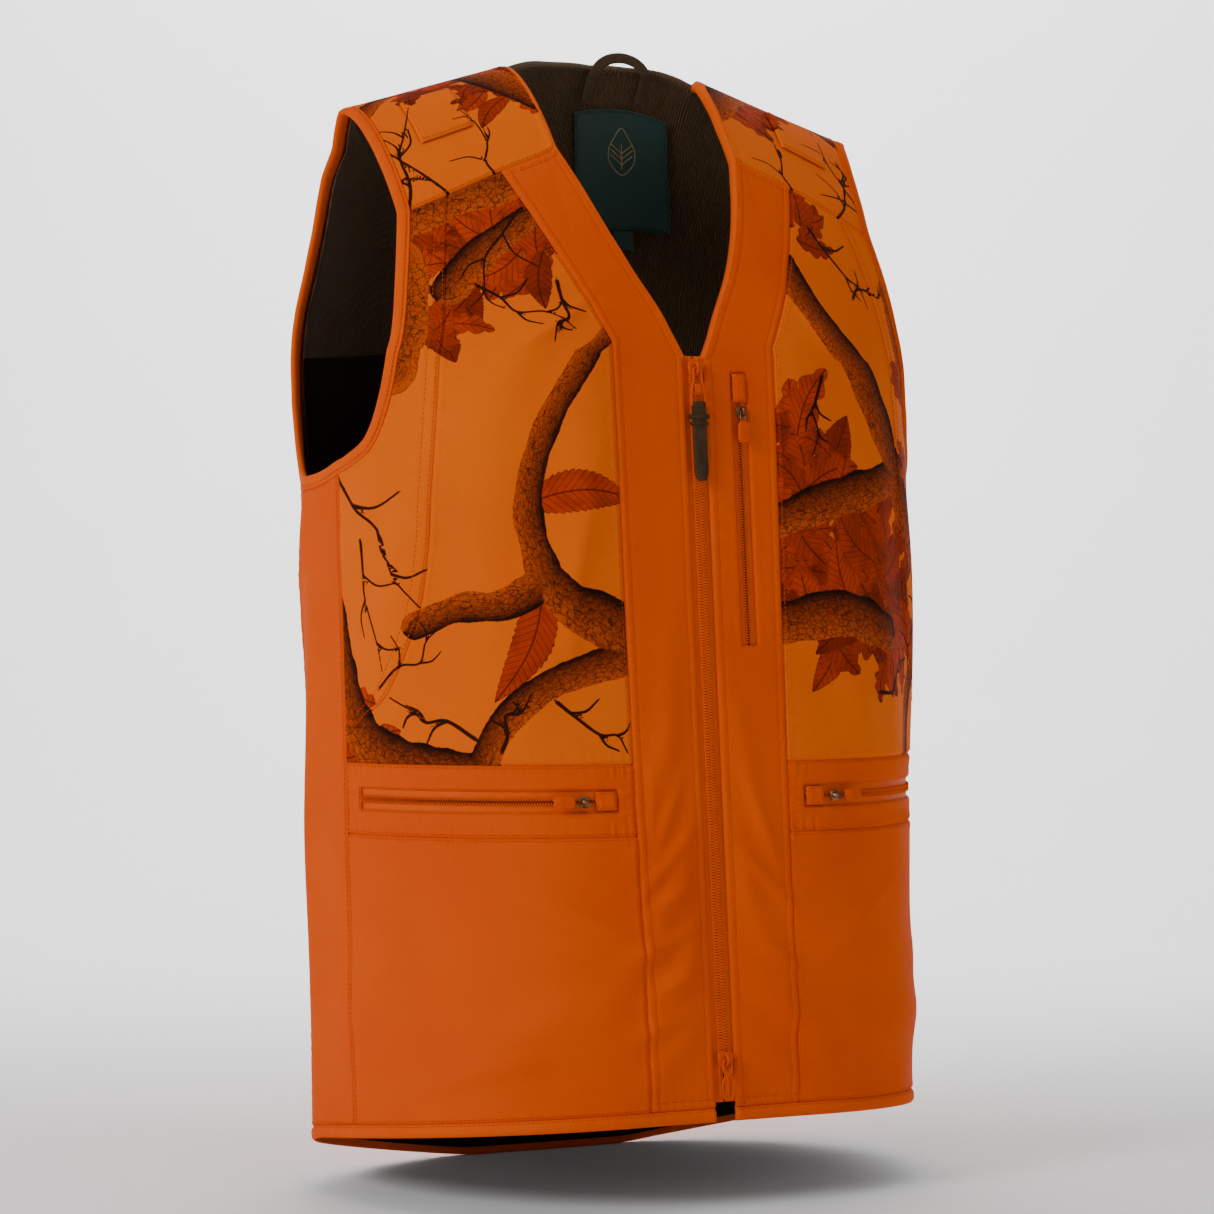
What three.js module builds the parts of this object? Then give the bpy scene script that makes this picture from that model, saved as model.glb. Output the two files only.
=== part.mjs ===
// Blaze orange field vest, standing as if worn. Millimetres, +Z up, the front faces -Y.
// "left" and "right" are the wearer's: left is +X.
import * as THREE from 'three';

// ---------------------------------------------------------------- driving sizes
const FLAT = 63;             // half width of the flat front and of the flat back
const R = 160;               // corner radius round the body at pocket-zip height
const Y0 = 40.5;             // where front corners meet back corners
const Z_POCKET = 274;        // height of the pocket zips
const Z_FRONT_HEM = 59;      // hem height at centre front
const Y_HEM = -139.5;        // centre front at the hem
const TILT = 0.093;          // the front leans back by this much per mm of height
const FLARE = 0.020;         // how much wider each side gets per mm of height
const BACK_HEM = 104, BACK_CHEST = 98;      // depth of the back corners
const Z_BREAK = 575;         // above this the walls curve over to the shoulders
const H_TOP = 875;           // cloth height at the shoulder ridge
const RIDGE_Y = 52;          // shoulder ridge
const ROUND = 1.4;           // how steeply the front leans back to the shoulder
const NECK_X = 77, NECK_Z = 785.4, SLOPE = 0.3145;   // neck point and shoulder slope
const CLOTH = 1.6;           // shell thickness with its seam allowances
const GAP = 0.25;            // each panel stops this far short of its seam
const LINING_IN = -5.5, LINING_OUT = -4.5;  // lining, measured from the back of the shell
const WINDOW = 7.5;          // half width of the gap between the facings at the main zip
const ZIP_LOW = 94, ZIP_HIGH = 572;         // main zip, ends of the teeth
const CHEST_X = 34, CHEST_LOW = 377, CHEST_HIGH = 563, CHEST_HALF = 5.5;   // chest pocket zip
const BAND_LOW = 250, BAND_HIGH = 298;      // pocket bands
const POCKET_HALF = 7;       // half height of the pocket zip openings
const POCKET_IN = 3, POCKET_OUT = 69;       // ends of the pocket zips, degrees round the corner
const SIDE_SEAM = 74, BACK_SEAM = 104;      // side panel seams, degrees round the corner
const LABEL_X = 38, LABEL_H = 738;          // middle of the neck label, to the wearer's left of centre back
const LABEL_TURN = 12;       // the label hangs turned by this many degrees
const LOOP_X = 18;           // middle of the hanging loop
const BIND = 8;              // width of the armhole bindings
const HEM_BAND = 9;          // width of the hem bands
const HEM_IN = -0.6, HEM_OUT = 2.0;         // faces of the hem bands, measured from the back of the shell
const BAG_IN = -3.2, BAG_OUT = -2.4;        // pocket bags
const LABEL_IN = -8.6, LABEL_OUT = -7.6;    // neck label and size tab, on the lining
const PATCH_IN = CLOTH + 1.6, PATCH_OUT = CLOTH + 2.6;   // shoulder patches
const COVER_IN = 1.9, COVER_OUT = 2.9;      // covers over the zip ends

const HALF = 2 * FLAT + R * Math.PI;        // girth coordinate of the centre back
const rad = d => d * Math.PI / 180;
const around = d => FLAT + R * rad(d);      // girth coordinate at an angle round the corner
const clamp = (t, a, b) => Math.min(b, Math.max(a, t));
const mix = (a, b, t) => a + (b - a) * t;
const V = (x, y, z) => new THREE.Vector3(x, y, z);

// ---------------------------------------------------------------- body surface
const ridgeZ = x0 => {
  const x = Math.abs(x0);
  const z = x < NECK_X ? 812 - 26.6 * (x / NECK_X) ** 2 : NECK_Z - SLOPE * (x - NECK_X);
  return z - 18 * clamp((x - 190) / 40, 0, 1) ** 2;
};
const frontY = z => Y_HEM + TILT * (z - Z_FRONT_HEM);
const corner = z => R + FLARE * (z - Z_POCKET);
function wall(u, z) {
  const s = Math.sign(u) || 1, au = Math.abs(u);
  const th = clamp((au - FLAT) / R, 0, Math.PI);
  const past = Math.max(0, au - FLAT - R * Math.PI);
  const x = (past > 0 ? FLAT - past : Math.min(au, FLAT)) + corner(z) * Math.sin(th);
  const b = Y0 - frontY(z), c = mix(BACK_HEM, BACK_CHEST, clamp(z / Z_BREAK, 0, 1));
  return [s * x, Y0 - (th < Math.PI / 2 ? b : c) * Math.cos(th)];
}
// u runs round the body from centre front, h runs up the cloth
function body(u0, h) {
  let u = u0;
  while (u > HALF) u -= 2 * HALF;
  while (u < -HALF) u += 2 * HALF;
  const [x, y] = wall(u, Math.min(h, Z_BREAK));
  if (h <= Z_BREAK) return V(x, y, h);
  const t = clamp((h - Z_BREAK) / (H_TOP - Z_BREAK), 0, 1) * Math.PI / 2;
  const z = Z_BREAK + (ridgeZ(x) - Z_BREAK) * Math.sin(t) ** ROUND;
  const y1 = wall(u, z)[1];
  return V(x, RIDGE_Y + (y1 - RIDGE_Y) * Math.max(0, Math.cos(t)) ** ROUND, z);
}
function bodyNormal(u, h) {
  const hi = Math.min(h + 1, H_TOP - 0.2), lo = Math.min(h - 1, H_TOP - 3);
  return body(u + 1, Math.min(h, H_TOP - 1)).sub(body(u - 1, Math.min(h, H_TOP - 1)))
    .cross(body(u, hi).sub(body(u, lo))).normalize();
}
const onBody = ([u, h]) => ({ p: body(u, h), n: bodyNormal(u, h) });
// girth and cloth-height coordinates of a place given by its x and z
function at(x, z, back = false) {
  const a = corner(Math.min(z, Z_BREAK)), ax = Math.abs(x), s = Math.sign(x) || 1;
  const th = Math.asin(clamp((ax - FLAT) / a, 0, 1));
  const u = back ? (ax < FLAT ? HALF - ax : FLAT + R * (Math.PI - th)) : (ax < FLAT ? ax : FLAT + R * th);
  const q = clamp((z - Z_BREAK) / (ridgeZ(x) - Z_BREAK), 0, 1);
  const h = z > Z_BREAK ? Z_BREAK + (H_TOP - Z_BREAK) * Math.asin(q ** (1 / ROUND)) / (Math.PI / 2) : z;
  return [s * u, h];
}
// over the shoulder: x across, w along the cloth, negative in front of the ridge
function shoulder([x, w]) {
  const place = (xx, ww) => body(at(xx, Z_BREAK, ww > 0)[0], H_TOP - Math.abs(ww));
  const alongX = (xx) => body(at(xx, Z_BREAK, w > 0)[0], H_TOP - Math.abs(w));
  const dw = place(x, w + 2).sub(place(x, w - 2));
  const dx = alongX(x + 1).sub(alongX(x - 1));
  return { p: place(x, w), n: dx.cross(dw).normalize() };
}
const hemZ = u => {
  const th = clamp((Math.abs(u) - FLAT) / R, 0, Math.PI);
  return Z_FRONT_HEM * ((1 + Math.cos(th)) / 2) ** 0.6 * (1 - 0.02 * Math.sin(th));
};

// ---------------------------------------------------------------- solids
const group = new THREE.Group();
group.name = 'blaze_orange_vest';
const paint = (hex, rough, metal = 0) => ({ color: hex, roughness: rough, metalness: metal });
const PRINT = paint(0xe8641a, 0.8), PLAIN = paint(0xf7640a, 0.8), TRIM = paint(0xf26a10, 0.75);
const KNIT = paint(0x2c1f12, 0.9), MESH = paint(0x1d150e, 0.9), BAG = paint(0x2a2018, 0.9);
const METAL = paint(0x8a7a66, 0.35, 1), TAB = paint(0x40301f, 0.6), LABEL = paint(0x17271f, 0.7);
const TEETH = paint(0xf07818, 0.45), ENAMEL = paint(0xf07818, 0.4, 0.2);

function add(name, verts, faces, look) {
  const g = new THREE.BufferGeometry();
  g.setAttribute('position', new THREE.Float32BufferAttribute(verts.flatMap(v => [v.x, v.y, v.z]), 3));
  g.setIndex(faces.flat());
  g.computeVertexNormals();
  const m = new THREE.Mesh(g, new THREE.MeshStandardMaterial(look));
  m.name = name;
  group.add(m);
}
// a sheet with thickness: rows of places, each {p, n}; keep(i, j) says which cells are cloth
function sheet(name, rows, o0, o1, look, { keep = () => true, inset = GAP, flip = false } = {}) {
  const nj = rows.length, ni = rows[0].length;
  const q = rows.map(r => r.map(c => c.p.clone()));
  if (inset) {
    const p0 = rows.map(r => r.map(c => c.p));
    const pull = (j, i, j2, i2) => {
      const d = p0[j2][i2].clone().sub(p0[j][i]);
      if (d.length() > 1e-6) q[j][i].addScaledVector(d.normalize(), inset);
    };
    for (let i = 0; i < ni; i++) {
      pull(0, i, 1, i);
      pull(nj - 1, i, nj - 2, i);
    }
    for (let j = 0; j < nj; j++) {
      pull(j, 0, j, 1);
      pull(j, ni - 1, j, ni - 2);
    }
  }
  const verts = [], faces = [], id = new Map();
  const vert = (j, i, top) => {
    const k = `${j},${i},${top}`;
    if (!id.has(k)) {
      id.set(k, verts.length);
      verts.push(q[j][i].clone().addScaledVector(rows[j][i].n, top ? o1 : o0));
    }
    return id.get(k);
  };
  const tri = (a, b, c) => faces.push(flip ? [a, c, b] : [a, b, c]);
  const quad = (a, b, c, d) => {
    tri(a, b, c);
    tri(a, c, d);
  };
  const on = (j, i) => j >= 0 && i >= 0 && j < nj - 1 && i < ni - 1 && keep(i, j);
  for (let j = 0; j < nj - 1; j++) for (let i = 0; i < ni - 1; i++) {
    if (!on(j, i)) continue;
    const T = [vert(j, i, 1), vert(j, i + 1, 1), vert(j + 1, i + 1, 1), vert(j + 1, i, 1)];
    const B = [vert(j, i, 0), vert(j, i + 1, 0), vert(j + 1, i + 1, 0), vert(j + 1, i, 0)];
    quad(T[0], T[1], T[2], T[3]);
    tri(B[0], B[2], B[1]);
    tri(B[0], B[3], B[2]);
    if (!on(j - 1, i)) quad(B[0], B[1], T[1], T[0]);
    if (!on(j, i + 1)) quad(B[1], B[2], T[2], T[1]);
    if (!on(j + 1, i)) quad(B[2], B[3], T[3], T[2]);
    if (!on(j, i - 1)) quad(B[3], B[0], T[0], T[3]);
  }
  add(name, verts, faces, look);
}
// rows between two edges given as lists of places in cloth coordinates
function between(left, right, fractions, place = onBody) {
  return left.map((a, j) => fractions.map(f =>
    place([mix(a[0], right[j][0], f), mix(a[1], right[j][1], f)])));
}
// rectangular blocks joined into one solid: keep(i, j, k) says which cells are filled
function blocks(name, xs, ys, zs, keep, place, look, out = false) {
  const verts = [], faces = [], id = new Map();
  const vert = (i, j, k) => {
    const key = `${i},${j},${k}`;
    if (!id.has(key)) {
      id.set(key, verts.length);
      verts.push(place(xs[i], ys[j], zs[k]));
    }
    return id.get(key);
  };
  const on = (i, j, k) => i >= 0 && j >= 0 && k >= 0 && i < xs.length - 1 && j < ys.length - 1
    && k < zs.length - 1 && keep(i, j, k);
  const quad = (a, b, c, d) => faces.push([a, b, c], [a, c, d]);
  for (let i = 0; i < xs.length - 1; i++) for (let j = 0; j < ys.length - 1; j++)
    for (let k = 0; k < zs.length - 1; k++) {
      if (!on(i, j, k)) continue;
      const v = (a, b, c) => vert(i + a, j + b, k + c);
      if (!on(i - 1, j, k)) quad(v(0, 0, 0), v(0, 0, 1), v(0, 1, 1), v(0, 1, 0));
      if (!on(i + 1, j, k)) quad(v(1, 0, 0), v(1, 1, 0), v(1, 1, 1), v(1, 0, 1));
      if (!on(i, j - 1, k)) quad(v(0, 0, 0), v(1, 0, 0), v(1, 0, 1), v(0, 0, 1));
      if (!on(i, j + 1, k)) quad(v(0, 1, 0), v(0, 1, 1), v(1, 1, 1), v(1, 1, 0));
      if (!on(i, j, k - 1)) quad(v(0, 0, 0), v(0, 1, 0), v(1, 1, 0), v(1, 0, 0));
      if (!on(i, j, k + 1)) quad(v(0, 0, 1), v(1, 0, 1), v(1, 1, 1), v(0, 1, 1));
    }
  add(name, verts, out ? faces.map(([a, b, c]) => [a, c, b]) : faces, look);
}
// a flat plate cut to an outline with holes; place(a, b, c) puts it in space
function plate(name, outline, holes, c0, c1, place, look) {
  const turn = pts => (THREE.ShapeUtils.isClockWise(pts) ? pts.slice().reverse() : pts);
  const out = turn(outline.map(([a, b]) => new THREE.Vector2(a, b)));
  const inn = holes.map(hole => turn(hole.map(([a, b]) => new THREE.Vector2(a, b))).reverse());
  const all = [...out, ...inn.flat()], n = all.length;
  const tris = THREE.ShapeUtils.triangulateShape(out, inn);
  const verts = [...all.map(v => place(v.x, v.y, c0)), ...all.map(v => place(v.x, v.y, c1))];
  const faces = [];
  for (const [a, b, c] of tris) faces.push([c, b, a], [a + n, b + n, c + n]);
  const ring = (s, m) => {
    for (let k = 0; k < m; k++) {
      const a = s + k, b = s + (k + 1) % m;
      faces.push([a, b, b + n], [a, b + n, a + n]);
    }
  };
  let start = 0;
  for (const loop of [out, ...inn]) {
    ring(start, loop.length);
    start += loop.length;
  }
  add(name, verts, faces, look);
}
const oval = (cx, cy, rx, ry, n = 12) => Array.from({ length: n }, (_, k) => {
  const a = 2 * Math.PI * k / n;
  return [cx + rx * Math.cos(a), cy + ry * Math.sin(a)];
});

// ---------------------------------------------------------------- seam lines, left side
// outer edge of the facing below the neck: it widens a little towards the chest
const facingEdge = z => mix(56, 62, clamp((z - Z_FRONT_HEM) / 500, 0, 1));
const frac = n => Array.from({ length: n + 1 }, (_, k) => k / n);
const steps = (a, b, n) => frac(n).map(t => mix(a, b, t));
const SEAM_U = around(SIDE_SEAM), BACK_U = around(BACK_SEAM);
const COLS = [0, 12, 24, 36, 48, 60, SIDE_SEAM].map(around);
const places = list => list.map(([x, z]) => at(x, z));
const NECK = places([[12, 582], [22, 604], [38, 634], [51, 665], [61, 694], [70, 720]]);
const FACING_TOP = places([[62, 582], [71, 601], [83, 627], [94, 653], [104, 678], [113, 701]]);
const OVERLAY = [[258, 321], [246, 330], [225, 347], [202, 394], [192, 440], [188.7, 475], [186, 500],
  [183.5, 525], at(172, 577), at(163, 632), at(152, 683)];
const ARM_FRONT = [[SEAM_U, 494], [255, 499], [232, 515], at(197, 560), at(187, 620), at(178, 671)];
const ARM_LOW = [[SEAM_U, 494], [288, 488], [308, 485], [330, 485], [BACK_U, 490]];
const ARM_BACK = [[BACK_U, 490], [372, 503], [383, 522], [391, 548], [397, 580], [400, 620], [402, 665],
  [405, 710], [411, 755]];
const TIP_X = 194, BACK_TIP_X = 193;        // shoulder tip at the ridge and at the back seam
const YOKE_NECK = 26, YOKE_TIP = 92;        // how far the yoke reaches down the back, at the neck and the tip
const YOKE_ACROSS = [0, 0.36, 0.68, 1];     // columns of the yoke, from the neck to the tip
// front seam of the yoke: x and the place along the cloth, negative in front of the ridge
const YOKE_FRONT = [[70, 720], [113, 701], [150, 684], [178, 671]].map(([x, z]) => [x, at(x, z)[1] - H_TOP]);
const OVERLAY_END = 322;     // where the hand-warmer seam meets the side seam
const ZIP_CORNER = 572;      // where the facing turns from the zip to the neckline

for (const s of [1, -1]) {
  const side = s > 0 ? 'left' : 'right';
  const m = pts => pts.map(([u, h]) => [s * u, h]);
  const put = (rows) => (s > 0 ? rows : rows.map(r => r.slice().reverse()));
  const grid = (l, r, f, place) => put(between(m(l), m(r), f, place));
  const opt = (keep, n) => ({ keep: keep ? (s > 0 ? keep : (i, j) => keep(n - 2 - i, j)) : () => true });

  // facing: straight beside the zip, then out along the neckline
  const low = [Z_FRONT_HEM + HEM_BAND, BAND_LOW, BAND_HIGH, CHEST_LOW, CHEST_HIGH, ZIP_CORNER];
  if (s > 0) {
    const mid = low.map(z => [[WINDOW, z], [CHEST_X - CHEST_HALF, z], [CHEST_X + CHEST_HALF, z],
      [facingEdge(z), z]]);
    const up = between(NECK, FACING_TOP, [0, 0.4, 0.6, 1], p => p);
    sheet('left_front_facing', [...mid, ...up].map(r => r.map(onBody)), 0, CLOTH, PLAIN,
      { keep: (i, j) => !(i === 1 && j === 3) });
  } else {
    const inner = [...low.map(z => [WINDOW, z]), ...NECK];
    const outer = [...low.map(z => [facingEdge(z), z]), ...FACING_TOP];
    sheet('right_front_facing', grid(inner, outer, [0, 0.5, 1]), 0, CLOTH, PLAIN);
  }

  // chest panel between the facing seam and the hand-warmer seam
  const ci = [...[BAND_HIGH, 304, 312, 322, 345, 390, 430, 470, 505, 540].map(z => [facingEdge(z), z]),
    at(62, 578), at(87, 636), at(113, 701)];
  const co = [[SEAM_U, BAND_HIGH], [SEAM_U, OVERLAY_END - 1], ...OVERLAY];
  sheet(`${side}_front_chest`, grid(ci, co, frac(6)), 0, CLOTH, PRINT);
  // side chest panel from the hand-warmer seam to the side seam and armhole
  const so = [...[OVERLAY_END + 1, 336, 354, 400, 455].map(h => [SEAM_U, h]), ...ARM_FRONT];
  sheet(`${side}_front_side_chest`, grid(OVERLAY, so, frac(3)), 0, CLOTH, PRINT);

  // pocket band with its zip opening
  const bc = z => [facingEdge(z), ...steps(POCKET_IN, POCKET_OUT, 16).map(around), SEAM_U];
  const bz = [BAND_LOW, Z_POCKET - POCKET_HALF, Z_POCKET + POCKET_HALF, BAND_HIGH];
  const nb = bc(0).length;
  sheet(`${side}_pocket_band`, put(bz.map(z => bc(z).map(u => onBody([s * u, z])))), 0, CLOTH, PLAIN,
    opt((i, j) => !(j === 1 && i > 0 && i < nb - 2), nb));
  // lower pocket panel
  const lc = z => [facingEdge(z), ...COLS.slice(1)];
  sheet(`${side}_lower_pocket_panel`, put([0, 0.5, 1].map(t =>
    lc(mix(Z_FRONT_HEM + HEM_BAND, BAND_LOW, t)).map(u =>
      onBody([s * u, mix(hemZ(u) + HEM_BAND, BAND_LOW, t)])))), 0, CLOTH, PLAIN);

  // side panel
  const pc = ARM_LOW.map(p => p[0]);
  sheet(`${side}_side_panel`, put([0, 0.5, 1].map(k => ARM_LOW.map(([u, h]) =>
    onBody([s * u, mix(hemZ(u) + HEM_BAND, h, k)])))), 0, CLOTH, PLAIN);
  // hem band along the front and the side panel
  const hc = [WINDOW, FLAT, ...COLS.slice(1), ...pc.slice(1)];
  sheet(`${side}_hem_band`, put([0, HEM_BAND].map(d => hc.map(u => onBody([s * u, hemZ(u) + d])))),
    HEM_IN, HEM_OUT, TRIM);

  // shoulder yoke, over the ridge
  const yoke = [0, 0.2, 0.4, 0.6, 0.8, 1, 1.25, 1.5].map(t => YOKE_ACROSS.map((f, k) => {
    const ridge = mix(NECK_X, TIP_X, f), back = mix(NECK_X + 1, BACK_TIP_X, f);
    const [x0, w0] = YOKE_FRONT[k];
    const x = t <= 1 ? mix(x0, ridge, t ** 1.3) : mix(ridge, back, (t - 1) * 2);
    const w = t <= 1 ? mix(w0, 0, t) : (t - 1) * 2 * mix(YOKE_NECK, YOKE_TIP, f);
    return [s * x, w];
  }));
  sheet(`${side}_shoulder_yoke`, put(yoke.map(r => r.map(shoulder))), 0, CLOTH, PRINT);
  // stitched patch on the yoke that keeps a sling in place
  const patch = [0.32, 0.52, 0.72].map(t => [118, 137, 156].map(x => {
    const f = (x - YOKE_FRONT[0][0]) / (YOKE_FRONT[3][0] - YOKE_FRONT[0][0]);
    return [s * (x + 10 * t), mix(mix(YOKE_FRONT[0][1], YOKE_FRONT[3][1], f), 0, t)];
  }));
  sheet(`${side}_shoulder_patch`, put(patch.map(r => r.map(shoulder))), PATCH_IN, PATCH_OUT, PRINT);

  // armhole binding: a band standing on the edges of all the panels round the armhole
  const yokeEdge = yoke.map(r => shoulder(r[3]));
  const ring = [...m(ARM_FRONT.slice().reverse()).map(onBody), ...m(ARM_LOW.slice(1)).map(onBody),
    ...m(ARM_BACK.slice(1)).map(onBody), ...yokeEdge.slice().reverse()];
  const clean = ring.filter((c, k) => c.p.distanceTo(ring[(k + 1) % ring.length].p) > 2);
  const nr = clean.length, cells = [];
  for (let k = 0; k <= nr; k++) {
    const a = clean[(k + nr - 1) % nr].p, b = clean[(k + 1) % nr].p, c = clean[k % nr];
    const along = b.clone().sub(a).normalize();
    const out = along.cross(c.n).multiplyScalar(-s);
    out.addScaledVector(c.n, -out.dot(c.n)).normalize();
    cells.push([0.3, BIND].map(d => ({ p: c.p.clone().addScaledVector(out, d), n: c.n })));
  }
  binding(`${side}_armhole_binding`, cells.slice(0, nr), -2.2, 2.4, TRIM, s);

  // lining of the front: plain mesh from the facing to the side
  const lu = [24, FLAT, ...COLS.slice(1), around(88)];
  const liningRows = [0, 0.33, 0.62].map(k => lu.map(u => [s * u, mix(hemZ(u) + 16, 470, k)]));
  sheet(`${side}_front_lining`, put(liningRows.concat([lu.map(u => [s * u, 470])]).map(r => r.map(onBody))),
    LINING_IN, LINING_OUT, MESH);
  const across = frac(5);
  const cl = [475, 520, 565, 600, 640, 680].map((h, j) => {
    const inner = [28, 28, 30, 44, 62, 82][j], outer = [196, 190, 184, 176, 168, 160][j];
    return across.map(f => [s * mix(inner, outer, f), h]);
  });
  const over = [0, 0.33, 0.66, 1].map(t =>
    across.map(f => [s * mix(mix(84, 158, f), mix(88, 182, f), t), mix(-170, -6, t)]));
  sheet(`${side}_chest_lining`, put([...cl.map(r => r.map(onBody)), ...over.map(r => r.map(shoulder))]),
    LINING_IN, LINING_OUT, KNIT);
}

// a closed ring of rectangular section following a loop of places
function binding(name, cells, o0, o1, look, s) {
  const n = cells.length, verts = [], faces = [];
  for (const c of cells) {
    const [a, b] = c;
    verts.push(a.p.clone().addScaledVector(a.n, o0), b.p.clone().addScaledVector(b.n, o0),
      b.p.clone().addScaledVector(b.n, o1), a.p.clone().addScaledVector(a.n, o1));
  }
  for (let k = 0; k < n; k++) {
    const a = 4 * k, b = 4 * ((k + 1) % n);
    for (let e = 0; e < 4; e++) {
      const f = (e + 1) % 4, q = [[a + e, b + e, b + f], [a + e, b + f, a + f]];
      faces.push(...(s < 0 ? q : q.map(([x, y, z]) => [x, z, y])));
    }
  }
  add(name, verts, faces, look);
}

// ---------------------------------------------------------------- back
const CORNER_U = around(180);   // where the back corner meets the flat back
const backU = [...steps(BACK_U, CORNER_U, 7), ...steps(CORNER_U, 2 * HALF - CORNER_U, 3).slice(1),
  ...steps(2 * HALF - CORNER_U, 2 * HALF - BACK_U, 7).slice(1)];
const near = u => (u > HALF ? 2 * HALF - u : u);
const Z_BACK_SEAM = 470;
sheet('back_lower', [0, 0.5, 1].map(k => backU.map(u =>
  onBody([u, mix(hemZ(near(u)) + HEM_BAND, Z_BACK_SEAM, k)]))), 0, CLOTH, PLAIN);
sheet('back_hem_band', [0, HEM_BAND].map(d => backU.map(u => onBody([u, hemZ(near(u)) + d]))),
  HEM_IN, HEM_OUT, TRIM);
// the upper back narrows between the armholes and ends at the yokes and the back neck
const backTop = [1, 0.84, 0.68, 0.52, 0.36, 0.18, 0].map(f =>
  [at(mix(NECK_X + 1, BACK_TIP_X, f), Z_BREAK, true)[0], H_TOP - mix(YOKE_NECK, YOKE_TIP, f)]);
const NECK_BACK = 812;       // cloth height of the back neck at its middle
const tops = [...backTop, [570, 838], [597, 820], [HALF, NECK_BACK]];
const edge = [[BACK_U, Z_BACK_SEAM], ...ARM_BACK, backTop[0]];
const upper = edge.map(L => {
  const t = (L[1] - Z_BACK_SEAM) / (backTop[0][1] - Z_BACK_SEAM);
  const half = tops.map(T => {
    const f = (T[0] - tops[0][0]) / (HALF - tops[0][0]);
    const low = [mix(BACK_U, HALF, f), Z_BACK_SEAM], mid = [HALF, mix(Z_BACK_SEAM, NECK_BACK, t)];
    const c = [0, 1].map(k => (1 - f) * L[k] + f * mid[k] + (1 - t) * low[k] + t * T[k]
      - ((1 - f) * (1 - t) * edge[0][k] + f * (1 - t) * [HALF, Z_BACK_SEAM][k]
        + (1 - f) * t * tops[0][k] + f * t * [HALF, NECK_BACK][k]));
    return c;
  });
  return [...half, ...half.slice(0, -1).reverse().map(([a, b]) => [2 * HALF - a, b])];
});
sheet('back_upper', upper.map(r => r.map(onBody)), 0, CLOTH, PRINT);
// linings of the back: mesh below, knit at the neck
const mirrored = list => [...list, ...list.slice(0, -1).reverse().map(u => 2 * HALF - u)];
const blU = backU.slice(1, -1), nbl = blU.length;
const liningH = [u => hemZ(near(u)) + 14, () => 250, () => 480, () => 590];
sheet('back_lining', liningH.map(h => blU.map(u => onBody([u, h(u)]))),
  LINING_IN, LINING_OUT, MESH, { keep: (i, j) => !(j === 2 && (i < 2 || i > nbl - 4)) });
const NECK_ROWS = [600, 640, 680, 720, 760, 785, 806], NECK_U = 434;
// each row keeps under the slope of the shoulders
const neckRow = (h, u) => {
  const slope = mix(770, 806, clamp((near(u) - NECK_U) / 110, 0, 1));
  const below = h < 785 ? 20 : 8;
  return Math.min(h, slope - (h < 806 ? below : 0));
};
sheet('neck_lining', NECK_ROWS.map(h => mirrored([NECK_U, 455, 480, 510, 540, 566, 597, HALF])
  .map(u => onBody([u, neckRow(h, u)]))), LINING_IN, LINING_OUT, KNIT);
// woven neck label with its size tab, and the hanging loop
const LABEL_HALF = [38, 42.5], TAB_HALF = [8, 6.4];   // half widths and heights of the label and its size tab
const labelTurn = rad(LABEL_TURN);
// places over a rectangle on the label's own axes: x to the wearer's left, y up, both turned about its middle
const onLabel = ([w, l], y0, n, k) => steps(y0 - l, y0 + l, k).map(y => steps(w, -w, n).map(x =>
  onBody([HALF - LABEL_X - x * Math.cos(labelTurn) + y * Math.sin(labelTurn),
    LABEL_H + x * Math.sin(labelTurn) + y * Math.cos(labelTurn)])));
sheet('neck_label', onLabel(LABEL_HALF, 0, 3, 4), LABEL_IN, LABEL_OUT, LABEL, { inset: 0 });
sheet('size_tab', onLabel(TAB_HALF, -LABEL_HALF[1] - TAB_HALF[1] - 0.6, 2, 2), LABEL_IN, LABEL_OUT, LABEL,
  { inset: 0 });

// ---------------------------------------------------------------- zips on the flat front
const lean = Math.atan(TILT);
// x across, c out of the cloth, z up the zip
const onFront = (x, c, z) => V(x, frontY(z) - c * Math.cos(lean), z + c * Math.sin(lean));
const box = (name, x0, x1, c0, c1, z0, z1, look) =>
  blocks(name, [x0, x1], [c0, c1], [z0, z1], () => true, onFront, look, true);
for (const s of [1, -1]) {
  const side = s > 0 ? 'left' : 'right', span = (a, b) => (s > 0 ? [a, b] : [-b, -a]);
  box(`main_zip_tape_${side}`, ...span(0.9, 20), -1.5, -0.5, 72, 574, TRIM);
  box(`main_zip_teeth_${side}`, ...span(0.9, 3.4), -0.15, 1.9, ZIP_LOW, ZIP_HIGH, TEETH);
}
// narrow zips: each half is a tape with its raised row of teeth
const HALF_ZIP = [0.9, 2.9, 9];             // narrow zip half: ends of the teeth, edge of the tape
const ZIP_C = [-1.5, -0.5, 1.4];            // back of the tape, its face, top of the teeth
const halfZip = s => (s > 0 ? HALF_ZIP : HALF_ZIP.map(x => -x).reverse());
for (const s of [1, -1]) {
  const teeth = s > 0 ? 0 : 1;
  blocks(`chest_zip_half_${s > 0 ? 'left' : 'right'}`, halfZip(s), ZIP_C,
    [CHEST_LOW - 6, CHEST_LOW + 0.5, CHEST_HIGH - 0.5, CHEST_HIGH + 6],
    (i, j, k) => j === 0 || (k === 1 && i === teeth),
    (x, c, z) => onFront(CHEST_X + x, c, z), TEETH, true);
}
const COVER = 20;                           // length of the cover over the top of the chest zip
box('chest_zip_garage', CHEST_X - 5, CHEST_X + 5, COVER_IN, COVER_OUT, CHEST_HIGH - COVER, CHEST_HIGH - 0.5,
  PLAIN);
const BAG_U = [44, FLAT, around(12), around(24)];
sheet('chest_pocket_bag', steps(350, 555, 2).map(h => BAG_U.map(u => onBody([u, h]))),
  BAG_IN, BAG_OUT, BAG);

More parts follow.
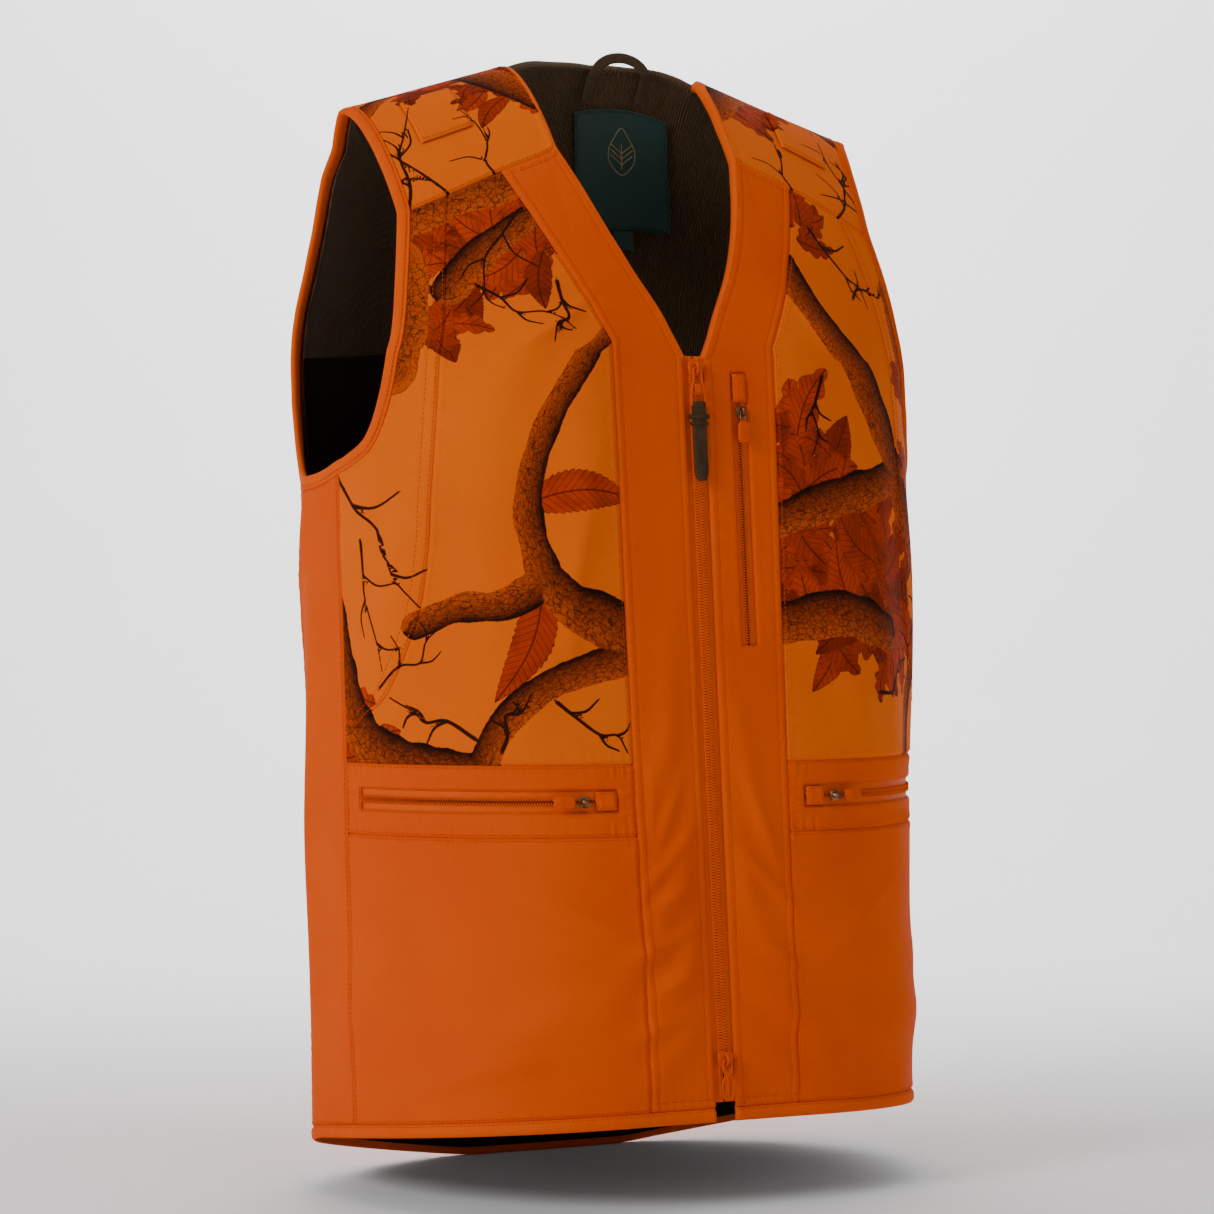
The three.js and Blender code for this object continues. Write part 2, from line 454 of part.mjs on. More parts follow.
// slider: back plate, thin web between the two rows of teeth, front plate, arched bridge
const SLIDER_C = [-3.7, -2.2, 2.4, 4.0, 7.0, 8.2];   // faces of those four, measured out of the cloth
const BRIDGE = 1.5;          // half width of the bridge
function slider(name, w, l, place, look, web = 0.55) {
  const xs = [-w, -BRIDGE, -web, web, BRIDGE, w];
  const zs = [-l, -l * 0.6, l * 0.6, l];
  blocks(name, xs, SLIDER_C, zs, (i, j, k) => {
    if (j === 0 || j === 2) return true;
    if (j === 1) return i === 2;
    return i > 0 && i < 4 && (j === 4 || k !== 1);
  }, place, look, true);
}
// pull: its top bar turns under the bridge; z is measured down from the bar
const PULL_C = [4.7, 6.3];   // front and back of a pull, out from the cloth
const BAR = 5.5;             // height of the turning bar over the cloth
function puller(name, place, length, w0, w1, holes, look) {
  const half = [[w0, 0.8], [w0, -9.1], [w1, -length * 0.62], [w1, -length + 2], [w1 - 2, -length]];
  const outline = [...half, ...half.map(([a, b]) => [-a, b]).reverse()];
  const eye = [[-2.1, -0.8], [2.1, -0.8], [2.1, -8], [-2.1, -8]];
  plate(name, outline, [eye, ...holes], ...PULL_C, place, look);
}
const TOP_Z = 565, LOW_Z = 100, TAB_BAR = 24.2;
const frontAt = (x0, z0) => (x, c, z) => onFront(x0 + x, c, z0 + z);
const flatAt = (x0, z0) => (a, b, c) => onFront(x0 + a, c, z0 + b);
slider('top_slider_body', 6, 5.5, frontAt(0, TOP_Z), ENAMEL);
puller('top_slider_pull', flatAt(0, TOP_Z - 1), TAB_BAR + 0.8, 3.4, 5.6,
  [[[-4, -17.5], [4, -17.5], [4, -23.4], [-4, -23.4]]], ENAMEL);
const TAB_LOOP = [1.5, 2.35];               // inner and outer half size of the tab's square loop
const TAB_LENGTH = 52, TAB_EDGE = 5, TAB_EYE = 3.6;
blocks('pull_tab', [-TAB_EDGE, -TAB_EYE, TAB_EYE, TAB_EDGE],
  [-TAB_LOOP[1], -TAB_LOOP[0], ...TAB_LOOP].map(c => BAR + c),
  [-TAB_LENGTH, -TAB_LOOP[1], -TAB_LOOP[0], ...TAB_LOOP], (i, j, k) => {
    if (k === 0) return j === 1;
    if (i !== 1) return false;
    return k === 2 ? j !== 1 : true;
  }, frontAt(0, TOP_Z - 1 - TAB_BAR), TAB, true);
slider('bottom_slider_body', 6, 5.5, frontAt(0, LOW_Z), ENAMEL);
puller('bottom_slider_pull', flatAt(0, LOW_Z - 1), 26, 3.4, 4.6, [oval(0, -17, 2.6, 4.6)], ENAMEL);
const CHEST_Z = CHEST_HIGH - 27;
slider('chest_zip_slider', 4, 4, frontAt(CHEST_X, CHEST_Z), METAL);
puller('chest_zip_pull', flatAt(CHEST_X, CHEST_Z - 0.5), 21, 3.2, 4.2, [], TEETH);

// ---------------------------------------------------------------- lower pocket zips, round the corners
const REST = 11.5;           // slider at rest, degrees round the corner
for (const s of [1, -1]) {
  const side = s > 0 ? 'left' : 'right';
  const arc = [POCKET_IN - 1.5, ...steps(POCKET_IN + 0.3, POCKET_OUT - 0.3, 21), POCKET_OUT + 1.5];
  const degrees = s > 0 ? arc : arc.slice().reverse().map(d => -d);
  const onArc = (d, c, z) => {
    const { p, n } = onBody([Math.sign(d) * around(Math.abs(d)), Z_POCKET + z]);
    return p.addScaledVector(n, c);
  };
  for (const k of [1, -1]) {
    const teeth = k > 0 ? 0 : 1;
    blocks(`${side}_pocket_zip_${k > 0 ? 'upper' : 'lower'}`, degrees, ZIP_C, halfZip(k),
      (i, j, l) => j === 0 || (i > 0 && i < arc.length - 2 && l === teeth), onArc, TEETH, true);
  }
  const gr = [268, 280].map(z => steps(POCKET_IN + 0.3, REST - 3, 2).map(d => onBody([s * around(d), z])));
  sheet(`${side}_pocket_garage`, s > 0 ? gr : gr.map(r => r.slice().reverse()), COVER_IN, COVER_OUT, PLAIN,
    { inset: 0 });
  // slider frame at rest: down points back along the zip, n out of the cloth
  const th = rad(REST), n = V(s * Math.sin(th), -Math.cos(th), 0);
  const down = V(-s * Math.cos(th), -Math.sin(th), 0), across = down.clone().cross(n);
  const o = V(s * FLAT, Y0, Z_POCKET).addScaledVector(n, R);
  const local = (x, c, z) =>
    o.clone().addScaledVector(across, x).addScaledVector(n, c).addScaledVector(down, z);
  slider(`${side}_pocket_slider`, 4, 4, local, METAL, 0.45);
  puller(`${side}_pocket_pull`, (a, b, c) => local(a, c, b - 0.5), 21, 3.2, 4.2, [], TEETH);
  const bu = [around(12), ...COLS.slice(2, -1), around(68)];
  const bag = [100, 180, 262].map(z => bu.map(u => onBody([s * u, z])));
  sheet(`${side}_pocket_bag`, s > 0 ? bag : bag.map(r => r.slice().reverse()), BAG_IN, BAG_OUT, BAG);
}

// hanging loop at the back neck, a narrow strap bent into an arch; its ends lie on the lining
const LOOP_OUT = 25, LOOP_IN = 17.5;        // half widths of the loop outside and inside the strap
const LOOP_Z = 784, LOOP_UP = 19.5;         // where the arch begins and how high it rises
const loopY = z => body(...at(LOOP_X + LOOP_OUT, Math.min(z, LOOP_Z + 5), true)).y - 13;
const arch = (r, up) => frac(10).map(t =>
  [LOOP_X - r * Math.cos(Math.PI * t), LOOP_Z + up * Math.sin(Math.PI * t)]);
const leg = x => [LOOP_Z - 14, LOOP_Z - 7].map(z => [LOOP_X + x, z]);
plate('hanging_loop', [...leg(-LOOP_OUT), ...arch(LOOP_OUT, LOOP_UP), ...leg(LOOP_OUT).reverse(),
  ...leg(LOOP_IN), ...arch(LOOP_IN, LOOP_UP - 7).reverse(), ...leg(-LOOP_IN).reverse()], [], -0.8, 0.8,
  (a, b, c) => V(a, loopY(b) - c, b), KNIT);

export default group;
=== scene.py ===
"""Blaze orange field vest: sewn shell, linings, bindings, zips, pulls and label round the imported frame."""
import math

import bpy
import numpy as np
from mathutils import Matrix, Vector


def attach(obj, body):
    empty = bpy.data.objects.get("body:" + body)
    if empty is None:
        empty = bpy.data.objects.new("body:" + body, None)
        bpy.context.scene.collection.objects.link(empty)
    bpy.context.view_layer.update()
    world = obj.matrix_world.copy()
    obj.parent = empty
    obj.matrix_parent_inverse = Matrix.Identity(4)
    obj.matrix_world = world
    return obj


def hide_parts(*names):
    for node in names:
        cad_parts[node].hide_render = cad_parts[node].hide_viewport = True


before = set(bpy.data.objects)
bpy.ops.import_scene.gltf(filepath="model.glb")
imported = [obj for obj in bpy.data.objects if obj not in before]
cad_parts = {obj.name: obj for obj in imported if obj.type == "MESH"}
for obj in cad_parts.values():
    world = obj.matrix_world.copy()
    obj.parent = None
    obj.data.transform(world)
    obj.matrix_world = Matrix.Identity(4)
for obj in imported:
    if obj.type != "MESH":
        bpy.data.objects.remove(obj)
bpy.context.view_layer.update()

M = 0.001                    # one millimetre
TAU = 2 * math.pi

# ------------------------------------------------------------------ driving sizes, millimetres
FLAT, R, Y0 = 63.0, 160.0, 40.5
Z_POCKET, Z_FRONT_HEM = 274.0, 59.0
Y_HEM, TILT, FLARE = -139.5, 0.093, 0.020
BACK_HEM, BACK_CHEST = 104.0, 98.0
Z_BREAK, H_TOP, RIDGE_Y, ROUND = 575.0, 875.0, 52.0, 1.4
NECK_X, NECK_Z, SLOPE, TIP_X = 77.0, 785.4, 0.3145, 194.0
HEM_BAND, BAND_LOW, BAND_HIGH = 9.0, 250.0, 298.0
WINDOW_ROW = 2.6
FOLD_DEPTH = 1.9
WINDOW, CHEST_X, CHEST_HALF, CHEST_LOW, CHEST_HIGH = 7.5, 34.0, 5.5, 377.0, 563.0
ZIP_LOW, ZIP_HIGH = 94.0, 572.0
POCKET_HALF, POCKET_IN, POCKET_OUT, REST = 7.0, 3.0, 69.0, 11.5
TOP_Z, LOW_Z, CHEST_Z, TAB_BAR, BAR = 565.0, 100.0, 536.0, 24.2, 5.5
LABEL_X, LABEL_H, LABEL_TURN = 38.0, 738.0, math.radians(12)
LABEL_HALF, TAB_HALF = (38.0, 42.5), (8.0, 6.4)
LOOP_X, LOOP_Z = 18.0, 784.0
HALF = 2 * FLAT + R * math.pi
CLOTH = 1.5


def around(degrees):
    return FLAT + R * np.radians(degrees)


SEAM_U, BACK_U = around(74.0), around(104.0)


# ------------------------------------------------------------------ body surface
def ridge_z(x):
    """Height of the shoulder ridge: a low arch between the neck points, then a straight slope that drops at the tip."""
    x = np.abs(x)
    z = np.where(x < NECK_X, 812 - 26.6 * (x / NECK_X) ** 2, NECK_Z - SLOPE * (x - NECK_X))
    return z - 18 * np.clip((x - 190) / 40, 0, 1) ** 2


def front_y(z):
    return Y_HEM + TILT * (z - Z_FRONT_HEM)


def wall(u, z):
    """Girth coordinate u and height z to x, y: flat front, elliptic corners, flat back."""
    au = np.abs(u)
    th = np.clip((au - FLAT) / R, 0, np.pi)
    past = np.maximum(0, au - FLAT - R * np.pi)
    x = np.where(past > 0, FLAT - past, np.minimum(au, FLAT)) + (R + FLARE * (z - Z_POCKET)) * np.sin(th)
    front, back = Y0 - front_y(z), BACK_HEM + (BACK_CHEST - BACK_HEM) * np.clip(z / Z_BREAK, 0, 1)
    return np.where(u < 0, -x, x), Y0 - np.where(th < np.pi / 2, front, back) * np.cos(th)


def body(u, h):
    """Cloth coordinates to space: upright walls, which above Z_BREAK lean over to the ridge on a superellipse."""
    u, h = np.broadcast_arrays(np.asarray(u, float), np.asarray(h, float))
    u = (u + HALF) % (2 * HALF) - HALF
    low_x, low_y = wall(u, np.minimum(h, Z_BREAK))
    t = np.clip((h - Z_BREAK) / (H_TOP - Z_BREAK), 0, 1) * np.pi / 2
    z = Z_BREAK + (ridge_z(low_x) - Z_BREAK) * np.sin(t) ** ROUND
    y = RIDGE_Y + (wall(u, z)[1] - RIDGE_Y) * np.maximum(0, np.cos(t)) ** ROUND
    return np.stack([low_x, np.where(h > Z_BREAK, y, low_y), np.where(h > Z_BREAK, z, h)], -1)


def at(x, z, back=False):
    """Cloth coordinates of a place given by its x and z."""
    ax = abs(x)
    th = math.asin(min(1, max(0, (ax - FLAT) / (R + FLARE * (min(z, Z_BREAK) - Z_POCKET)))))
    if back:
        u = HALF - ax if ax < FLAT else FLAT + R * (math.pi - th)
    else:
        u = ax if ax < FLAT else FLAT + R * th
    q = min(1, max(0, (z - Z_BREAK) / (float(ridge_z(x)) - Z_BREAK)))
    h = Z_BREAK + (H_TOP - Z_BREAK) * math.asin(q ** (1 / ROUND)) / (math.pi / 2) if z > Z_BREAK else z
    return [math.copysign(u, x if x else 1), h]


def hem_z(u):
    """Hem height: low at the back, rising round the sides to the front."""
    u = np.abs((np.asarray(u, float) + HALF) % (2 * HALF) - HALF)
    th = np.clip((u - FLAT) / R, 0, np.pi)
    return Z_FRONT_HEM * ((1 + np.cos(th)) / 2) ** 0.6 * (1 - 0.02 * np.sin(th))


def facing_edge(z):
    return 56 + 6 * np.clip((np.asarray(z, float) - 59) / 500, 0, 1)


def ripple(a, seed):
    """A smooth wandering value near -1 to 1 along a length in millimetres: three sines of unrelated pitch."""
    k = 1 + 0.37 * seed
    return (np.sin(a / 31 * k + seed) + 0.7 * np.sin(a / 17.3 * k + 2.1 * seed) + 0.5 * np.sin(a / 9.1 + 3.3 * seed)) / 2.2


# soft folds: place (u, h), direction the crest runs in degrees, length, width, height, all millimetres
FOLDS = [
    (-36, 215, 62, 105, 11, 1.9), (-28, 160, 48, 90, 12, 2.1), (-44, 275, 72, 80, 10, 1.3), (-33, 110, 35, 70, 12, 1.6),
    (-30, 330, 80, 90, 10, 1.0), (32, 200, 118, 100, 11, 1.8), (38, 140, 135, 85, 12, 1.9), (30, 300, 104, 80, 10, 1.2),
    (40, 90, 150, 60, 11, 1.3), (-150, 170, 8, 120, 18, 1.9), (-190, 120, -6, 110, 20, 2.2), (-110, 130, 20, 90, 16, 1.5),
    (-240, 190, 80, 120, 17, 1.8), (150, 165, -10, 120, 18, 1.9), (205, 120, 6, 110, 20, 2.1), (110, 120, -18, 90, 16, 1.4),
    (-95, 460, 78, 190, 20, 2.2), (-150, 430, 84, 170, 22, 2.0), (-215, 400, 74, 150, 22, 2.4), (-120, 350, 58, 90, 17, 1.6),
    (-235, 470, 60, 60, 14, 1.8), (100, 450, 100, 190, 20, 2.2), (155, 420, 96, 170, 22, 2.1), (220, 410, 104, 150, 22, 2.3),
    (125, 345, 122, 90, 17, 1.5), (-320, 250, 88, 260, 18, 2.6), (320, 260, 92, 260, 18, 2.6), (-345, 420, 70, 90, 14, 1.8),
    (345, 420, 110, 90, 14, 1.8), (-110, 600, 60, 80, 16, 1.3), (110, 600, 120, 80, 16, 1.3), (440, 330, 84, 320, 28, 3.4),
    (520, 240, 94, 280, 30, 3.0), (600, 400, 88, 300, 30, 2.6), (680, 260, 92, 300, 30, 3.0), (760, 360, 86, 320, 28, 3.2),
    (830, 300, 95, 250, 26, 3.0), (404, 600, 90, 170, 34, 6.2), (853.3, 600, 90, 170, 34, 6.2), (560, 560, 20, 150, 24, 2.2), (700, 560, 160, 150, 24, 2.2), (628, 690, 0, 160, 22, 1.8),
    (-34, 232, 52, 46, 5, 1.7), (-30, 206, 30, 40, 4.5, 1.5), (-40, 184, 22, 44, 5, 1.7), (-32, 150, 26, 34, 4.5, 1.5),
    (-44, 128, 14, 36, 5, 1.5), (-30, 262, 64, 44, 5, 1.1), (36, 216, 130, 44, 5, 1.5), (32, 172, 146, 36, 4.5, 1.5),
    (44, 132, 160, 34, 5, 1.3), (34, 258, 118, 44, 5, 1.1), (-104, 196, 160, 60, 6, 1.3), (-170, 92, 10, 90, 6, 1.1),
    (120, 186, 26, 60, 6, 1.1), (-90, 420, 84, 80, 7, 1.1), (98, 610, 130, 40, 6, 1.3), (-98, 610, 50, 40, 6, 1.3),
]


def relief(u, h):
    """Folds that stand out of the cloth: long Gaussian crests, fading out beside every zip."""
    v = (u + HALF) % (2 * HALF) - HALF
    total = np.zeros(np.broadcast(u, h).shape)
    for fu, fh, turn, length, width, height in FOLDS:
        fu = (fu + HALF) % (2 * HALF) - HALF
        du, dh = (v - fu + HALF) % (2 * HALF) - HALF, h - fh
        c, s = math.cos(math.radians(turn)), math.sin(math.radians(turn))
        along, off = du * c + dh * s, -du * s + dh * c
        off = off + 5 * np.sin(along / 38 + fh)
        total += FOLD_DEPTH * height * np.exp(-(along / length) ** 2 * 2 - (off / width) ** 2)
    au = np.abs(v)
    zip_fade = 1 - np.exp(-(np.maximum(0, au - 8) / 12) ** 2)
    band = 1 - np.exp(-(np.maximum(0, np.abs(h - Z_POCKET) - 12) / 14) ** 2)
    band = np.where((au > 50) & (au < around(80)), band, 1 - 0 * h)
    chest = 1 - np.exp(-(np.maximum(0, np.abs(v - CHEST_X) - 8) / 8) ** 2)
    chest = np.where((v > 0) & (v < 62) & (h > 340) & (h < 590), chest, 1 - 0 * h)
    shoulder = 1 - 0.8 * np.clip((h - 640) / 80, 0, 1)
    return total * zip_fade * band * chest * shoulder


def unit(v):
    return v / np.maximum(np.linalg.norm(v, axis=-1, keepdims=True), 1e-9)


def surface(u, h, off=0.0, folds=1.0):
    """Points at a height off over the body surface, with the folds, and the outward directions."""
    hh = np.minimum(h, H_TOP - 0.6)
    n = unit(np.cross(body(u + 1, hh) - body(u - 1, hh), body(u, hh + 0.5) - body(u, hh - 0.5)))
    lift = np.asarray(off + folds * relief(u, h))
    return body(u, h) + n * lift[..., None], n


# ------------------------------------------------------------------ meshes
def mesh_object(name, verts, faces, material, smooth=True, attributes=None, uv=None):
    """A mesh from millimetre points and quads or triangles; unused points are dropped."""
    faces = [np.asarray(f, np.int64) for f in (faces if isinstance(faces, list) else [faces])]
    used, inverse = np.unique(np.concatenate([f.ravel() for f in faces]), return_inverse=True)
    mesh = bpy.data.meshes.new(name)
    sizes = np.concatenate([np.full(len(f), f.shape[1]) for f in faces])
    mesh.vertices.add(len(used))
    mesh.vertices.foreach_set("co", (np.asarray(verts)[used] * M).astype(np.float32).ravel())
    mesh.loops.add(len(inverse))
    mesh.loops.foreach_set("vertex_index", inverse.astype(np.int32).ravel())
    mesh.polygons.add(len(sizes))
    mesh.polygons.foreach_set("loop_start", np.concatenate([[0], np.cumsum(sizes)[:-1]]).astype(np.int32))
    mesh.polygons.foreach_set("use_smooth", np.full(len(sizes), smooth))
    mesh.update(calc_edges=True)
    for key, values in (attributes or {}).items():
        layer = mesh.attributes.new(key, "FLOAT_VECTOR", "POINT")
        layer.data.foreach_set("vector", np.asarray(values, np.float32)[used].ravel())
    if uv is not None:
        layer = mesh.uv_layers.new(name="cloth")
        layer.data.foreach_set("uv", (np.asarray(uv)[used][inverse.ravel()]).astype(np.float32).ravel())
    mesh.validate()
    mesh.materials.append(material)
    piece = bpy.data.objects.new(name, mesh)
    bpy.context.scene.collection.objects.link(piece)
    return piece


def finish(piece, slot, nodes=(), ride="vest"):
    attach(piece, ride)
    if nodes:
        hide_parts(*nodes)
    return piece


def closed_sheet(outer, inner, keep):
    """Faces of a sheet with thickness over the kept cells of a grid, with walls along every border."""
    nj, ni = outer.shape[:2]
    top = np.arange(nj * ni).reshape(nj, ni)
    low = top + nj * ni
    k = np.pad(keep, 1)
    a, b, c, d = top[:-1, :-1], top[:-1, 1:], top[1:, 1:], top[1:, :-1]
    e, f, g, i = low[:-1, :-1], low[:-1, 1:], low[1:, 1:], low[1:, :-1]
    faces = [np.stack([a, b, c, d], -1)[keep], np.stack([i, g, f, e], -1)[keep]]
    for side, quad in (((slice(0, -2), slice(1, -1)), (e, f, b, a)), ((slice(1, -1), slice(2, None)), (f, g, c, b)),
                       ((slice(2, None), slice(1, -1)), (g, i, d, c)), ((slice(1, -1), slice(0, -2)), (i, e, a, d))):
        faces.append(np.stack(quad, -1)[keep & ~k[side]])
    return np.concatenate([outer.reshape(-1, 3), inner.reshape(-1, 3)]), np.concatenate(faces)


def tube(path, section, closed=False, up=None, scale=None):
    """A section (n, 2) carried along a path (m, 3): first axis sideways, second along up. Returns points, faces."""
    path = np.asarray(path, float)
    m, n = len(path), len(section)
    run = unit(np.roll(path, -1, 0) - np.roll(path, 1, 0)) if closed else unit(np.gradient(path, axis=0))
    up = np.broadcast_to(np.asarray(up, float), path.shape)
    side = unit(np.cross(run, up))
    up = np.cross(side, run)
    scale = np.ones(m) if scale is None else scale
    sec = np.asarray(section)
    points = path[:, None] + scale[:, None, None] * (side[:, None] * sec[None, :, :1] + up[:, None] * sec[None, :, 1:])
    ids = np.arange(m * n).reshape(m, n)
    nxt = np.roll(ids, -1, 0) if closed else ids[1:]
    cur = ids if closed else ids[:-1]
    faces = [np.stack([cur, nxt, np.roll(nxt, -1, 1), np.roll(cur, -1, 1)], -1).reshape(-1, 4)]
    if not closed:
        faces += [ids[0][None, :], ids[-1][::-1][None, :]]
    return points.reshape(-1, 3), faces


def oval(width, height, n=12, power=2.0):
    """A superellipse section, anticlockwise."""
    t = np.arange(n) / n * TAU
    c, s = np.cos(t), np.sin(t)
    return np.stack([width / 2 * np.sign(c) * np.abs(c) ** (2 / power), height / 2 * np.sign(s) * np.abs(s) ** (2 / power)], -1)


def pebble(outline, levels, place):
    """A rounded slab: the outline (n, 2) shrunk towards its middle and lifted by each (shrink, height) level."""
    mid = outline.mean(0)
    reach = np.linalg.norm(outline - mid, axis=1, keepdims=True)
    rings = [np.concatenate([mid + (outline - mid) * np.maximum(0.001, 1 - s / reach), np.full((len(outline), 1), z)], 1)
             for s, z in levels]
    grid = np.stack(rings)
    m, n = grid.shape[:2]
    ids = np.arange(m * n).reshape(m, n)
    faces = [np.stack([ids[:-1], np.roll(ids[:-1], -1, 1), np.roll(ids[1:], -1, 1), ids[1:]], -1).reshape(-1, 4),
             ids[0][::-1][None, :], ids[-1][None, :]]
    return place(grid.reshape(-1, 3)), faces


def joined(parts):
    """Several (points, faces) as one."""
    verts, faces, base = [], {}, 0
    for points, quads in parts:
        for f in quads if isinstance(quads, list) else [quads]:
            faces.setdefault(f.shape[1], []).append(f + base)
        verts.append(points)
        base += len(points)
    return np.concatenate(verts), [np.concatenate(f) for f in faces.values()]


# ------------------------------------------------------------------ edges and patches in cloth coordinates
def straight(points, per=16):
    points = np.asarray(points, float)
    s = np.linspace(0, len(points) - 1, (len(points) - 1) * per + 1)
    return np.stack([np.interp(s, np.arange(len(points)), points[:, k]) for k in (0, 1)], -1)


def curve(points, per=16):
    """Catmull-Rom curve through the points."""
    p = np.asarray(points, float)
    q = np.concatenate([[2 * p[0] - p[1]], p, [2 * p[-1] - p[-2]]])
    s = np.linspace(0, len(p) - 1, (len(p) - 1) * per + 1)
    i = np.minimum(s.astype(int), len(p) - 2)
    t = (s - i)[:, None]
    a, b, c, d = q[i], q[i + 1], q[i + 2], q[i + 3]
    return 0.5 * (2 * b + (c - a) * t + (2 * a - 5 * b + 4 * c - d) * t ** 2 + (3 * b - a - 3 * c + d) * t ** 3)


def chain(*edges):
    return np.concatenate([edges[0]] + [e[1:] for e in edges[1:]])


def resample(edge, fractions):
    s = np.concatenate([[0], np.cumsum(np.linalg.norm(np.diff(edge, axis=0), axis=1))])
    return np.stack([np.interp(fractions * s[-1], s, edge[:, k]) for k in (0, 1)], -1)


def edge_length(edge):
    return float(np.linalg.norm(np.diff(edge, axis=0), axis=1).sum())


EDGE_LINES = np.array([0, 0.5, 1.1, 1.9, 3.0, 4.2, 5.2, 6.0, 6.8, 7.8, 9.2])    # grid lines beside a seam


def lines(length, step, marks=()):
    """Grid fractions over a length: close together beside both ends and beside each mark, step apart elsewhere."""
    if length < 2.4 * EDGE_LINES[-1]:
        return np.linspace(0, 1, max(3, int(length / min(step, 1.2)) + 1))
    stops = [0.0, *sorted(marks), float(length)]
    out = []
    for a, b in zip(stops[:-1], stops[1:]):
        span = b - a
        near = EDGE_LINES[EDGE_LINES < span * 0.45]
        inner = np.linspace(a + near[-1], b - near[-1], max(2, int((span - 2 * near[-1]) / step) + 1))
        out.append(np.concatenate([a + near[:-1], inner, (b - near[:-1])[::-1]]))
    return np.unique(np.round(np.concatenate(out), 4)) / length


def patch(left, right, bottom=None, top=None, step=2.5, row_marks=(), col_marks=()):
    """Coons patch between four edges in cloth coordinates, on grid lines that crowd beside the seams."""
    bottom = straight([left[0], right[0]]) if bottom is None else bottom
    top = straight([left[-1], right[-1]]) if top is None else top
    rows = lines((edge_length(left) + edge_length(right)) / 2, step, row_marks)
    cols = lines(max(edge_length(bottom), edge_length(top), 6.0), step, col_marks)
    L, Rr, B, T = resample(left, rows), resample(right, rows), resample(bottom, cols), resample(top, cols)
    f, t = cols[None, :, None], rows[:, None, None]
    corners = (1 - f) * (1 - t) * B[0] + f * (1 - t) * B[-1] + (1 - f) * t * T[0] + f * t * T[-1]
    return (1 - f) * L[:, None] + f * Rr[:, None] + (1 - t) * B[None] + t * T[None] - corners


def flip_side(grid, side):
    """The same patch on the wearer's right: u negated and columns reversed, so that it still faces out."""
    return grid if side > 0 else np.stack([-grid[..., 0], grid[..., 1]], -1)[:, ::-1]


def seam_distances(points):
    """Distance of each grid point to the left, right, bottom and top edges, along the grid lines."""
    across = np.concatenate([np.zeros_like(points[:, :1, 0]), np.cumsum(np.linalg.norm(np.diff(points, axis=1), axis=-1), 1)], 1)
    up = np.concatenate([np.zeros_like(points[:1, :, 0]), np.cumsum(np.linalg.norm(np.diff(points, axis=0), axis=-1), 0)], 0)
    return across, across[:, -1:] - across, up, up[-1:] - up


def sewn(d, along, seed, rows=(6.0,), pucker=0.3):
    """Height of cloth beside a seam: it rolls down into the seam, dips at each row of stitches and puckers."""
    drop = -1.25 * np.exp(-(d / 1.1) ** 2) + 0.25 * np.exp(-((d - 3) / 1.8) ** 2)
    for r in rows:
        drop = drop - 0.30 * np.exp(-((d - r) / 0.75) ** 2)
    return drop + pucker * ripple(along * 2.2, seed) * np.exp(-((d - 4) / 5) ** 2)


SHEETS, STITCHES = [], {}


def at_distance(across, r, *grids):
    """Each grid's values along the line at distance r, interpolated between the columns on its two sides."""
    k = np.clip((across < r).sum(1), 1, across.shape[1] - 1)
    rows = np.arange(len(k))
    a, b = across[rows, k - 1], across[rows, k]
    t = ((r - a) / np.maximum(b - a, 1e-6))[:, None]
    return [g[rows, k - 1] * (1 - t) + g[rows, k] * t for g in grids]


def stitch_line(group, line, normals, trim=2.0):
    STITCHES.setdefault(group, []).append((line, normals, trim))


